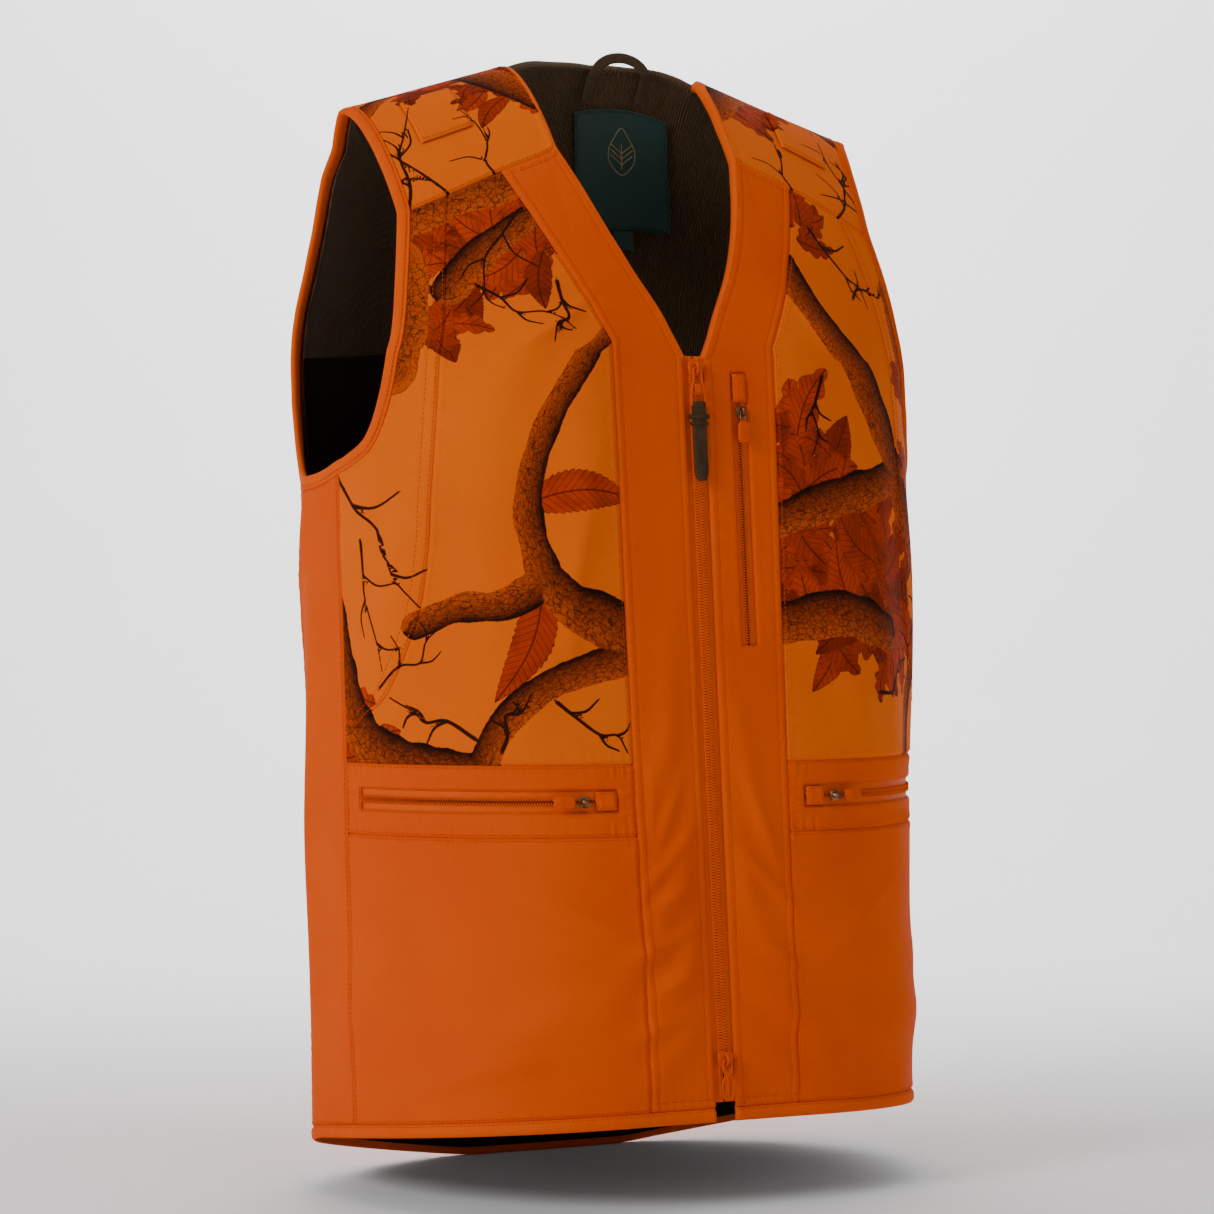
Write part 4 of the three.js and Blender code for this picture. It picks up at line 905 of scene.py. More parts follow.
# ------------------------------------------------------------------ over the shoulder
def girth(x, back):
    """Girth coordinate of a place x across the front or the back at the start of the lean."""
    ax = np.abs(x)
    th = np.arcsin(np.clip((ax - FLAT) / (R + FLARE * (Z_BREAK - Z_POCKET)), 0, 1))
    u = np.where(ax < FLAT, HALF - ax if back else ax, FLAT + R * (np.pi - th if back else th))
    return np.where(x < 0, -u, u)


def over(x, w):
    """Places on the shoulder from x across and w along the cloth, negative in front of the ridge, positive behind."""
    w = np.where(np.abs(w) < 0.4, 0.4, w)
    return np.where((w < 0)[..., None], body(girth(x, False), H_TOP + w), body(girth(x, True), H_TOP - w))


def over_surface(x, w):
    n = unit(np.cross(over(x + 1.5, w) - over(x - 1.5, w), over(x, w + 3) - over(x, w - 3)))
    return over(x, w), n


def yoke_grid(step):
    """x and w of the yoke: straight from the front seam to the ridge, then on to the back seam."""
    f = lines(115, step)[None, :]
    t = 1.5 * lines(300, step)[:, None]
    ws = np.array([at(x, z)[1] - H_TOP for x, z in ((70, 720), (113, 701), (150, 684), (178, 671))])
    knots = np.array([0, 0.36, 0.68, 1])
    x0, w0 = np.interp(f, knots, YOKE_X), np.interp(f, knots, ws)
    ridge, back = NECK_X + (TIP_X - NECK_X) * f, BACK_IN[0] + (BACK_OUT[0] - BACK_IN[0]) * f
    drop = BACK_IN[1] + (BACK_OUT[1] - BACK_IN[1]) * f
    low = np.minimum(t, 1) ** 1.3
    x = np.where(t <= 1, x0 + (ridge - x0) * low, ridge + (back - ridge) * (t - 1) * 2)
    w = np.where(t <= 1, w0 * (1 - t), (t - 1) * 2 * drop)
    return x, w


# ------------------------------------------------------------------ panels
def panel(name, grid, s, material, slot, nodes, design=None, **options):
    grid = flip_side(grid, s)
    if design:
        options["attributes"] = print_fields(grid[..., 0], grid[..., 1], design)
    if s < 0:
        swap = str.maketrans("lr", "rl")
        options["seams"] = options.get("seams", "lrbt").translate(swap)
        options["stitched"] = options.get("stitched", "lrbt").translate(swap)
        if options.get("window"):
            i0, i1, j0, j1 = options["window"]
            options["window"] = (grid.shape[1] - 1 - i1, grid.shape[1] - 1 - i0, j0, j1)
    return cloth(name, grid, material, slot, nodes, **options)


def facing_grid(s):
    """The front facing: level rows up to the neck, then rows between the neck and the chest seam."""
    span = FRONT_TOP - Z_FRONT_HEM - HEM_BAND
    low = Z_FRONT_HEM + HEM_BAND + span * lines(span, 3.0, (CHEST_LOW - Z_FRONT_HEM - HEM_BAND, CHEST_HIGH - Z_FRONT_HEM - HEM_BAND))
    neck = chain(np.array([[WINDOW, FRONT_TOP], NECK[0]]), curve(NECK))
    edge = chain(np.array([[62, FRONT_TOP], FACING_TOP[0]]), curve(FACING_TOP))
    t = lines(edge_length(neck), 2.6)[1:]
    left = np.concatenate([np.stack([np.full(len(low), WINDOW), low], -1), resample(neck, t)])
    right = np.concatenate([np.stack([facing_edge(low), low], -1), resample(edge, t)])
    width = np.concatenate([facing_edge(low) - WINDOW, np.full(len(t), 62 - WINDOW)])
    a, b = CHEST_X - CHEST_HALF - WINDOW, CHEST_X + CHEST_HALF - WINDOW
    cols = np.unique(np.round(54 * lines(54, 2.6, (a, b)), 4))
    i0, i1 = (int(np.argmin(np.abs(cols - v))) for v in (a, b))
    f = np.interp(cols[None, :], [0, cols[i0], cols[i1], cols[-1]], [0, 1, 2, 3])
    stops = np.stack([0 * width, a / width, b / width, 1 + 0 * width], -1)
    k = np.minimum(f.astype(int), 2)
    f = np.take_along_axis(stops, np.broadcast_to(k, (len(width), k.shape[1])), 1) * (1 - (f - k)) \
        + np.take_along_axis(stops, np.broadcast_to(k + 1, (len(width), k.shape[1])), 1) * (f - k)
    grid = left[:, None] * (1 - f[..., None]) + right[:, None] * f[..., None]
    j0, j1 = (int(np.argmin(np.abs(low - v))) for v in (CHEST_LOW, CHEST_HIGH))
    return grid, (i0, i1, j0, j1) if s > 0 else None


def band_grid():
    """The pocket band: level rows, with the zip's window between two girth angles."""
    rows = BAND_LOW + (BAND_HIGH - BAND_LOW) * lines(BAND_HIGH - BAND_LOW, 2.0, (Z_POCKET - POCKET_HALF - BAND_LOW, Z_POCKET + POCKET_HALF - BAND_LOW))
    start = facing_edge(rows)
    a, b = float(around(POCKET_IN)), float(around(POCKET_OUT))
    cols = lines(SEAM_U - 58, 2.6, (a - 58, b - 58)) * (SEAM_U - 58) + 58
    i0, i1 = (int(np.argmin(np.abs(cols - v))) for v in (a, b))
    u = np.where(cols[None] < a, start[:, None] + (a - start[:, None]) * (cols[None] - 58) / (a - 58), cols[None])
    j0, j1 = (int(np.argmin(np.abs(rows - v))) for v in (Z_POCKET - POCKET_HALF, Z_POCKET + POCKET_HALF))
    return np.stack([u, np.broadcast_to(rows[:, None], u.shape)], -1), (i0, i1, j0, j1)


DESIGN = {1: left_design(), -1: right_design()}
SIDES = ((1, "left"), (-1, "right"))

for s, side in SIDES:
    grid, hole = facing_grid(s)
    panel(f"{side}_front_facing_cloth", grid, s, PLAIN, "plain_shell", [f"{side}_front_facing"], window=hole, pucker=0.4, wave=0.2)
    inner = chain(upright(None, BAND_HIGH, 540), np.array([[62, 540], FACING_TOP[0]]), curve(FACING_TOP))
    outer = chain(np.array([[SEAM_U, BAND_HIGH], [SEAM_U, OVERLAY_END]]), straight([[SEAM_U, OVERLAY_END], OVERLAY[0]]), curve(OVERLAY))
    panel(f"{side}_front_chest_cloth", patch(inner, outer, step=1.6), s, PRINT, "printed_shell", [f"{side}_front_chest"],
          design=DESIGN[s], wave=0.25, rows=(2.2,), stitched="lt")
    outer = chain(straight([[SEAM_U, OVERLAY_END], [SEAM_U, 455], ARM_FRONT[0]]), curve(ARM_FRONT))
    panel(f"{side}_front_side_chest_cloth", patch(curve(OVERLAY), outer, step=1.4), s, PRINT, "printed_shell",
          [f"{side}_front_side_chest"], design=DESIGN[s], wave=0.25, rows=(2.2, 9.0), stitched="l")
    grid, hole = band_grid()
    panel(f"{side}_pocket_band_cloth", grid, s, PLAIN, "plain_shell", [f"{side}_pocket_band"], window=hole, pucker=0.7,
          rows=(2.0,), wave=0.1)
    panel(f"{side}_lower_pocket_cloth", patch(upright(None, 68, BAND_LOW), upright(SEAM_U, float(hem_z(SEAM_U)) + HEM_BAND, BAND_LOW),
                                             bottom=chain(np.array([[56.1, 68], [58, float(hem_z(58)) + HEM_BAND]]), hem_edge(58, SEAM_U)), step=3.0),
          s, PLAIN, "plain_shell", [f"{side}_lower_pocket_panel"], wave=0.35, rows=(2.0,), pucker=0.35)
    panel(f"{side}_side_panel_cloth", patch(upright(SEAM_U, float(hem_z(SEAM_U)) + HEM_BAND, 494), upright(BACK_U, float(hem_z(BACK_U)) + HEM_BAND, 490),
                                           bottom=hem_edge(SEAM_U, BACK_U), top=curve(ARM_LOW), step=3.0),
          s, PLAIN, "plain_shell", [f"{side}_side_panel"], wave=0.35, rows=(2.0,))
    panel(f"{side}_hem_tape", patch(np.array([[WINDOW, 59.0], [WINDOW, 68]]),
                                    np.array([[BACK_U, float(hem_z(BACK_U))], [BACK_U, float(hem_z(BACK_U)) + HEM_BAND]]),
                                    bottom=hem_edge(WINDOW, BACK_U, 0.0), top=hem_edge(WINDOW, BACK_U), step=2.2),
          s, BINDING, "plain_shell", [f"{side}_hem_band"], low=-0.6, high=2.1, stitched="t", rows=(1.6,), pucker=0.25)
    x, w = yoke_grid(2.2)
    x, w = (x, w) if s > 0 else (-x[:, ::-1], w[:, ::-1])
    spot = np.stack([x, H_TOP + w], -1)
    cloth(f"{side}_shoulder_yoke_cloth", spot, PRINT, "printed_shell", [f"{side}_shoulder_yoke"],
          attributes=print_fields(x, H_TOP + w, yoke_design(s)), ready=over_surface(x, w), held="draped", rows=(2.2,),
          stitched="bt", wave=0.2)

upper_edge = chain(straight([[BACK_U, Z_BACK_SEAM], ARM_BACK[0]]), curve(ARM_BACK))
back_top = [[float(girth(np.array(BACK_IN[0] + (BACK_OUT[0] - BACK_IN[0]) * f), True)),
             H_TOP - (BACK_IN[1] + (BACK_OUT[1] - BACK_IN[1]) * f)] for f in (1, 0.84, 0.68, 0.52, 0.36, 0.18, 0)]
half_top = [*back_top, [570, 838], [597, 820], [HALF, 812]]
mirror = lambda edge: np.stack([2 * HALF - np.asarray(edge)[:, 0], np.asarray(edge)[:, 1]], -1)
upper_edge = chain(upper_edge, np.array([ARM_BACK[-1], back_top[0]]))
top_edge = chain(curve(half_top), mirror(curve(half_top))[::-1])
grid = patch(upper_edge, mirror(upper_edge), bottom=straight([[BACK_U, Z_BACK_SEAM], [2 * HALF - BACK_U, Z_BACK_SEAM]]), top=top_edge, step=2.4)
cloth("back_upper_cloth", grid, PRINT, "printed_shell", ["back_upper"], attributes=print_fields(grid[..., 0], grid[..., 1], back_design()),
      rows=(2.2,), stitched="bt", wave=0.3)
far = 2 * HALF - BACK_U
low_back = float(hem_z(BACK_U)) + HEM_BAND
cloth("back_lower_cloth", patch(upright(BACK_U, low_back, Z_BACK_SEAM), upright(far, low_back, Z_BACK_SEAM),
                                bottom=hem_edge(BACK_U, far), step=4.0), PLAIN, "plain_shell", ["back_lower"], rows=(2.2,), wave=0.4)
cloth("back_hem_tape", patch(np.array([[BACK_U, low_back - HEM_BAND], [BACK_U, low_back]]), np.array([[far, low_back - HEM_BAND], [far, low_back]]),
                             bottom=hem_edge(BACK_U, far, 0.0), top=hem_edge(BACK_U, far), step=2.4),
      BINDING, "plain_shell", ["back_hem_band"], low=-0.6, high=2.1, stitched="t", rows=(1.6,), pucker=0.25)


# ------------------------------------------------------------------ linings and pocket bags
LINING = {"low": -5.4, "high": -4.6, "seams": "", "stitched": "", "wave": 0.35}
for s, side in SIDES:
    low = float(hem_z(BACK_U))
    inner = upright(20, Z_FRONT_HEM + 6, 470)
    outer = upright(BACK_U, low + 6, 470)
    panel(f"{side}_front_mesh", patch(inner, outer, bottom=hem_edge(20, BACK_U, 6.0), step=5.0), s, MESH, "mesh_lining",
          [f"{side}_front_lining"], **LINING)
    inner = curve([[22, 472], [23, 520], [24, 572], *[[u + 4, h] for u, h in NECK]])
    outer = curve([[BACK_U - 10, 472], [SEAM_U + 6, 484], *[[u - 3, h] for u, h in ARM_FRONT[1:]]])
    panel(f"{side}_chest_knit", patch(inner, outer, step=4.0), s, KNIT, "knit_lining", [f"{side}_chest_lining"], **LINING)
    x, w = yoke_grid(4.0)
    x, w = (x, w) if s > 0 else (-x[:, ::-1], w[:, ::-1])
    cloth(f"{side}_yoke_knit", np.stack([x, H_TOP + w], -1), KNIT, "knit_lining", [], ready=over_surface(x, w),
          held="draped", **LINING)
cloth("back_mesh", patch(upright(BACK_U, low + 6, 480), upright(far, low + 6, 480), bottom=hem_edge(BACK_U, far, 6.0), step=6.0),
      MESH, "mesh_lining", ["back_lining"], **LINING)
arm = curve([[BACK_U, 480.0], *ARM_BACK, back_top[0]])
full = patch(arm, mirror(arm), bottom=straight([[BACK_U, 480], [far, 480]]), top=top_edge, step=5.0)
cut = int(np.argmin(np.abs(full[:, full.shape[1] // 2, 1] - 598)))
cloth("back_shoulder_mesh", full[:cut + 1], MESH, "mesh_lining", [], **LINING)
cloth("neck_knit", full[cut:], KNIT, "knit_lining", ["neck_lining"], **dict(LINING, high=-4.3))
for s, side in SIDES:
    foot = curve([[around(12), 120], [around(14), 102], [around(40), 98], [around(66), 102], [around(68), 120]])
    panel(f"{side}_pocket_cloth_bag", patch(upright(around(12), 120, 262), upright(around(68), 120, 262), bottom=foot, step=6.0), s,
          POCKET, "pocket_cloth", [f"{side}_pocket_bag"], low=-3.3, high=-2.5, seams="", stitched="", wave=0.2)
cloth("chest_pocket_cloth_bag", patch(upright(44, 350, 555), upright(around(24), 350, 555), step=6.0), POCKET, "pocket_cloth",
      ["chest_pocket_bag"], low=-3.3, high=-2.5, seams="", stitched="", wave=0.2)


# ------------------------------------------------------------------ bindings and folded edges
def edging(name, path, normals, inward, section, nodes, slot="binding", material=None, closed=False, offset=0.0):
    """A folded tape: its section is carried along the path, first axis away from the panel, second along the normal."""
    side_ways = unit(inward - normals * (inward * normals).sum(-1, keepdims=True))
    sec = np.asarray(section)
    lift = offset + 0.18 * ripple(np.cumsum(np.linalg.norm(np.diff(path, axis=0, prepend=path[:1]), axis=1)) * 1.9, 3.0)
    points = path[:, None] + side_ways[:, None] * sec[None, :, :1] + normals[:, None] * (sec[None, :, 1:] + lift[:, None, None])
    m, n = points.shape[:2]
    ids = np.arange(m * n).reshape(m, n)
    cur, nxt = (ids, np.roll(ids, -1, 0)) if closed else (ids[:-1], ids[1:])
    faces = [np.stack([cur, nxt, np.roll(nxt, -1, 1), np.roll(cur, -1, 1)], -1).reshape(-1, 4)]
    if not closed:
        faces += [ids[0][None, :], ids[-1][::-1][None, :]]
    volume = tet_volume(points.reshape(-1, 3), faces[0])
    if volume < 0:
        faces = [f[:, ::-1] for f in faces]
    length = np.linalg.norm(np.diff(path, axis=0), axis=1).sum()
    run = np.cumsum(np.linalg.norm(np.diff(path, axis=0, prepend=path[:1]), axis=1))
    uv = np.stack([np.broadcast_to(run[:, None], (m, n)), np.broadcast_to(sec[None, :, 0], (m, n))], -1).reshape(-1, 2) * M
    piece = finish(mesh_object(name, points.reshape(-1, 3), faces, material or BINDING, uv=uv), slot, nodes)
    return piece, float(length)


def smoothed(path, normals, count=160, rounds=14):
    """The same line with even spacing, its corners eased by repeated averaging of neighbours; the ends stay."""
    t = np.concatenate([[0], np.cumsum(np.linalg.norm(np.diff(path, axis=0), axis=1))])
    even = np.linspace(0, t[-1], count)
    path, normals = (np.stack([np.interp(even, t, v[:, k]) for k in range(3)], -1) for v in (path, normals))
    for _ in range(rounds):
        path[1:-1] = (path[:-2] + 2 * path[1:-1] + path[2:]) / 4
        normals[1:-1] = normals[:-2] + 2 * normals[1:-1] + normals[2:]
        normals = unit(normals)
    return path, normals


def girth_of(section):
    """Length round a section."""
    return float(np.linalg.norm(section - np.roll(section, 1, 0), axis=1).sum())


def tet_volume(points, quads):
    """Signed volume of the solid inside the quads about their middle."""
    q = points[quads] - points.mean(0)
    return float((q[:, 0] * np.cross(q[:, 1], q[:, 2])).sum() + (q[:, 0] * np.cross(q[:, 2], q[:, 3])).sum())


FOLDED = np.array([[-1.0, -2.4], [2.0, -2.5], [5.5, -2.3], [7.6, -1.6], [8.4, -0.2], [8.3, 1.0], [7.4, 2.0], [5.5, 2.5],
                   [3.2, 2.6], [1.6, 2.4], [0.8, 1.7], [0.2, 2.2], [-0.8, 2.2], [-1.0, 1.4]])
NARROW = np.array([[-2.6, -5.8], [-0.4, -5.8], [0.7, -5.0], [1.1, -3.0], [1.1, -0.4], [0.8, 0.9], [0.1, 1.6], [-1.2, 1.8], [-2.6, 1.4]])

for s, side in SIDES:
    line = np.concatenate([curve(ARM_FRONT)[::-1], curve(ARM_LOW)[1:], curve(ARM_BACK)[1:]])
    line = resample(line, np.linspace(0, 1, 260))
    u, h = s * line[:, 0], line[:, 1]
    base, n = surface(u, h)
    x, w = yoke_grid(2.2)
    tip, tip_n = over_surface(s * x[::-1, -1], w[::-1, -1])
    path, normals = np.concatenate([base, tip[2:-1]]), np.concatenate([n, tip_n[2:-1]])
    t = np.concatenate([[0], np.cumsum(np.linalg.norm(np.diff(path, axis=0), axis=1))])
    even = np.linspace(0, t[-1], 360)
    path = np.stack([np.interp(even, t, path[:, k]) for k in range(3)], -1)
    normals = unit(np.stack([np.interp(even, t, normals[:, k]) for k in range(3)], -1))
    for _ in range(3):
        path = (np.roll(path, 1, 0) + 2 * path + np.roll(path, -1, 0)) / 4
        normals = unit(np.roll(normals, 1, 0) + normals + np.roll(normals, -1, 0))
    run = unit(np.roll(path, -1, 0) - np.roll(path, 1, 0))
    inward = np.cross(run, normals)
    hole = path.mean(0)
    if ((hole - path) * inward).sum() < 0:
        inward = -inward
    piece, length = edging(f"{side}_armhole_tape", path, normals, inward, FOLDED, [f"{side}_armhole_binding"], closed=True)
    declare(piece.name, length * girth_of(FOLDED) / 2, girth_of(FOLDED) / 2, length, "hung")
    stitch_line("binding", path + inward * 1.7 + normals * 2.45, normals)

    neck = chain(np.array([[WINDOW, FRONT_TOP], NECK[0]]), curve(NECK))
    neck = resample(neck, np.linspace(0, 1, 90))
    base, n = surface(s * neck[:, 0], neck[:, 1])
    x, w = yoke_grid(2.2)
    top, top_n = over_surface(s * x[:, 0], w[:, 0])
    back = resample(curve(half_top), np.linspace(0, 1, 120))
    inner = back[back[:, 0] > back_top[-1][0]]
    rear, rear_n = surface(s * inner[:, 0], inner[:, 1])
    line, line_n = smoothed(np.concatenate([base, top[1:-1], rear]), np.concatenate([n, top_n[1:-1], rear_n]), 300)
    turn = int(np.argmin(np.linalg.norm(line - top[-1], axis=1)))
    for part, path, normals, cover in (("front", line[:turn + 1], line_n[:turn + 1], BINDING), ("back", line[turn:], line_n[turn:], KNIT)):
        run = unit(np.gradient(path, axis=0))
        inward = np.cross(run, normals)
        middle = np.array([0, 0, path[:, 2].mean()])
        if ((middle - path) * inward).sum() < 0:
            inward = -inward
        piece, length = edging(f"{side}_neck_edge_{part}", path, normals, inward, NARROW, [], material=cover,
                               slot="binding" if part == "front" else "knit_lining")
        declare(piece.name, length * girth_of(NARROW) / 2, girth_of(NARROW) / 2, length, "hung")


# ------------------------------------------------------------------ places on the front and round the pockets
LEAN = math.atan(TILT)


def on_front(x0, z0):
    """A map from local x across, y up the zip and z out of the cloth to space."""
    def place(p):
        p = np.asarray(p, float)
        z = z0 + p[..., 1]
        return np.stack([x0 + p[..., 0], front_y(z) - p[..., 2] * math.cos(LEAN), z + p[..., 2] * math.sin(LEAN)], -1)
    return place


def on_pocket(s):
    """Local frame of a pocket slider: y points from the tab back to the centre front, z out of the cloth."""
    th = math.radians(REST)
    n = np.array([s * math.sin(th), -math.cos(th), 0])
    up = -np.array([s * math.cos(th), math.sin(th), 0])
    origin = np.array([s * FLAT, Y0, Z_POCKET]) + n * R
    across = np.cross(up, n)

    def place(p):
        p = np.asarray(p, float)
        return origin + across * p[..., :1] + up * p[..., 1:2] + n * p[..., 2:3]
    return place


def pocket_arc(s):
    """A map from local x above the zip, y angle in degrees round the corner and z out of the cloth."""
    def place(p):
        p = np.asarray(p, float)
        base, n = surface(s * around(p[..., 1]), Z_POCKET + p[..., 0], 0.0, 0.0)
        return base + n * p[..., 2:3]
    return place


def scatter(template, faces, count, place):
    """A template shape repeated: place maps (count, points, 3) to space; the same faces for each copy."""
    points = place(np.broadcast_to(template, (count, *template.shape)))
    shift = (np.arange(count) * len(template))[:, None, None]
    return points.reshape(-1, 3), [(f[None] + shift).reshape(-1, f.shape[1]) for f in faces]


def grain(length, width, height, n=8, rings=5, power=2.6):
    """A rounded bar along y: superellipse rings that close to a small cap at both ends."""
    t = np.linspace(-1, 1, rings)
    ring = oval(1, 1, n, power)
    size = np.maximum(0.35, (1 - np.abs(t) ** 4) ** 0.25 * 0.999)
    points = np.stack([np.stack([ring[:, 0] * width * k, np.full(n, y * length / 2), ring[:, 1] * height * k], -1)
                       for y, k in zip(t, size)]).reshape(-1, 3)
    ids = np.arange(rings * n).reshape(rings, n)
    return points, [np.stack([ids[:-1], ids[1:], np.roll(ids[1:], -1, 1), np.roll(ids[:-1], -1, 1)], -1).reshape(-1, 4),
                    ids[0][None], ids[-1][::-1][None]]


def facing_out(points, faces):
    """The same faces, turned so that the closed shape has a positive volume."""
    sample = faces[0] if isinstance(faces, list) else faces
    return points, (faces if tet_volume(points, sample) > 0 else [f[:, ::-1] for f in faces])


def solid(name, parts, material, slot, nodes=(), ride="vest"):
    points, faces = joined([facing_out(p, f if isinstance(f, list) else [f]) for p, f in parts])
    return finish(mesh_object(name, points, faces, material), slot, list(nodes), ride)


def repeated(template, place, steps, axis=1):
    """Copies of a template at steps along one axis of a local frame."""
    points, faces = template
    offsets = np.zeros((len(steps), 1, 3))
    offsets[:, 0, axis] = steps
    return scatter(points, faces, len(steps), lambda p: place(p + offsets))


TOOTH_PITCH, COIL_PITCH = 1.9, 1.8
for s, side in SIDES:
    place = on_front(0.0, 0.0)
    steps = np.arange(ZIP_LOW + 1, ZIP_HIGH - 1, TOOTH_PITCH) + (0 if s > 0 else TOOTH_PITCH / 2)
    points, faces = grain(1.5, 4.4, 1.7, 8, 5)
    tooth = points + (s * 1.45, 0, 0.95)
    solid(f"{side}_zip_teeth", [repeated((tooth, faces), place, steps)], TEETH, "zip_plastic", [f"main_zip_teeth_{side}"])
    cord = tube(place(np.stack([np.full(120, s * 3.1), np.linspace(74, 573, 120), np.full(120, -0.3)], -1)), oval(1.9, 1.7, 8), up=(0, -1, 0))
    x = np.linspace(0.5, 20, 12)
    z = np.linspace(72, 574, 160)
    grid = np.stack([np.broadcast_to(s * (x if s > 0 else x[::-1]), (160, 12)), np.broadcast_to(z[:, None], (160, 12)), np.full((160, 12), -0.55)], -1)
    face, back = place(grid), place(grid - (0, 0, 0.85))
    solid(f"{side}_zip_tape", [closed_sheet(face, back, np.ones((159, 11), bool)), cord], TAPE, "zip_tape", [f"main_zip_tape_{side}"])


def narrow_zip(name, place, lo, hi, nodes, pitch):
    """Each half of a narrow zip: a tape and its row of rounded coil turns."""
    for s, node in ((1, nodes[0]), (-1, nodes[1])):
        steps = np.arange(lo, hi, pitch) + (0 if s > 0 else pitch / 2)
        points, faces = grain(pitch * 0.46, 3.3, 1.5, 8, 3)
        turn = points + (s * 1.25, 0, 0.65)
        x, y = np.linspace(0.9, 9, 6), np.linspace(lo - pitch, hi + pitch, 90)
        grid = np.stack([np.broadcast_to(s * (x if s > 0 else x[::-1]), (90, 6)), np.broadcast_to(y[:, None], (90, 6)), np.full((90, 6), -0.55)], -1)
        sheet_part = closed_sheet(place(grid), place(grid - (0, 0, 0.8)), np.ones((89, 5), bool))
        solid(f"{name}_{'upper' if s > 0 else 'lower'}", [sheet_part, repeated((turn, faces), place, steps)], TEETH,
              "zip_plastic", [node])


narrow_zip("chest_zip", on_front(CHEST_X, 0.0), CHEST_LOW + 1, CHEST_HIGH - 1, ["chest_zip_half_left", "chest_zip_half_right"], COIL_PITCH)
for s, side in SIDES:
    lo, hi = POCKET_IN + 0.4, POCKET_OUT - 0.4
    narrow_zip(f"{side}_pocket_zip", pocket_arc(s), lo, hi, [f"{side}_pocket_zip_upper", f"{side}_pocket_zip_lower"],
               math.degrees(COIL_PITCH / R))


# ------------------------------------------------------------------ sliders, pulls and tabs
def shield(w, l, n=10):
    """Slider plate outline: broad rounded shoulders above, straight sides drawing in to a narrower square foot."""
    t = np.linspace(0, np.pi, n)
    top = np.stack([w * np.cos(t), l * 0.35 + l * 0.65 * np.sin(t) ** 0.7], -1)
    foot = [[-w * 0.94, -l * 0.2], [-w * 0.66, -l * 0.9], [-w * 0.5, -l], [w * 0.5, -l], [w * 0.66, -l * 0.9], [w * 0.94, -l * 0.2]]
    return np.concatenate([top, foot])


ROUND_EDGE = ((1.1, 0.0), (0.35, 0.15), (0.0, 0.5), (0.0, 1.1), (0.35, 1.45), (1.1, 1.6), (2.6, 1.75))


def slider_parts(w, l, place):
    """Front and back plates, the post between them and the arched bridge over the front."""
    outline = shield(w, l)
    front = pebble(outline, [(a, 2.3 + b) for a, b in ROUND_EDGE], place)
    back = pebble(outline * 0.96, [(a, -3.6 + 0.85 * b) for a, b in ROUND_EDGE], place)
    post = pebble(np.stack([oval(0.9, l * 0.9, 12)[:, 0], oval(0.9, l * 0.9, 12)[:, 1] + l * 0.35], -1),
                  [(0, -2.6), (0, 0), (0, 2.6)], place)
    t = np.linspace(0, 1, 22)
    rise = 2.6 + 5.0 * np.sin(np.pi * np.clip(t, 0, 1)) ** 0.55
    bridge = tube(np.stack([0 * t, l * 0.78 - 1.56 * l * t, rise], -1), oval(2.5, 1.1, 12, 3.0), up=(1e-3, 0.02, 1))
    return [front, back, post, (place(bridge[0]), bridge[1])]


def loop_path(points, n=56):
    closed = np.concatenate([points, points[:1]])
    p = curve(np.concatenate([points[-1:], closed, points[1:2]]), 12)[12:-12]
    return resample(p, np.linspace(0, 1, n + 1))[:-1]


def ring_part(points, section, level, place):
    """A closed loop of wire or strip following points in the plane of the pull."""
    flat = loop_path(np.asarray(points, float))
    path = np.concatenate([flat, np.full((len(flat), 1), level)], 1)
    p, f = tube(path, section, closed=True, up=(0, 0, 1))
    return place(p), f


def slab(outline, level, thick, place, soft=0.6):
    """A rounded slab on an outline, thick centred on a level."""
    t = thick / 2
    levels = [(soft * 1.6, -t), (soft * 0.5, -t + soft * 0.25), (0, -t + soft * 0.8), (0, t - soft * 0.8), (soft * 0.5, t - soft * 0.25),
              (soft * 1.6, t), (soft * 3.0, t + 0.02)]
    return pebble(np.asarray(outline, float), [(a, level + b) for a, b in levels], place)


def rounded(x0, x1, y0, y1, r, n=5):
    """A rectangle with round corners, anticlockwise."""
    t = np.linspace(0, np.pi / 2, n)
    corners = [((x1 - r, y0 + r), -np.pi / 2), ((x1 - r, y1 - r), 0), ((x0 + r, y1 - r), np.pi / 2), ((x0 + r, y0 + r), np.pi)]
    return np.concatenate([np.stack([cx + r * np.cos(t + a), cy + r * np.sin(t + a)], -1) for (cx, cy), a in corners])


place = on_front(0.0, TOP_Z)
solid("top_slider_metal", slider_parts(6.0, 5.5, place), ENAMEL, "painted_metal", ["top_slider_body"], "top_slider")
place = on_front(0.0, TOP_Z - 1)
plate = ring_part([(-2.7, 0.0), (0, 0.75), (2.7, 0.0), (3.1, -7.5), (4.6, -15.4), (0, -16.2), (-4.6, -15.4), (-3.1, -7.5)], oval(1.5, 1.5, 10, 2.6), BAR, place)
slot = ring_part([(-4.9, -16.6), (0, -16.4), (4.9, -16.6), (5.1, -20), (4.7, -24.2), (0, -24.5), (-4.7, -24.2), (-5.1, -20)], oval(1.4, 1.5, 10, 2.6), BAR, place)
solid("top_pull_metal", [plate, slot, slab(rounded(-2.5, 2.5, -16.4, -9.6, 1.4), BAR, 1.3, place, 0.3)], ENAMEL, "painted_metal", ["top_slider_pull"], "top_pull")
place = on_front(0.0, TOP_Z - 1 - TAB_BAR)
strap = [(-4.6, 2.0), (-4.9, 0.6), (-5.0, -8), (-5.0, -46), (-3.4, -51), (-2.2, -51.9), (2.2, -51.9), (3.4, -51), (5.0, -46), (5.0, -8), (4.9, 0.6), (4.6, 2.0)]
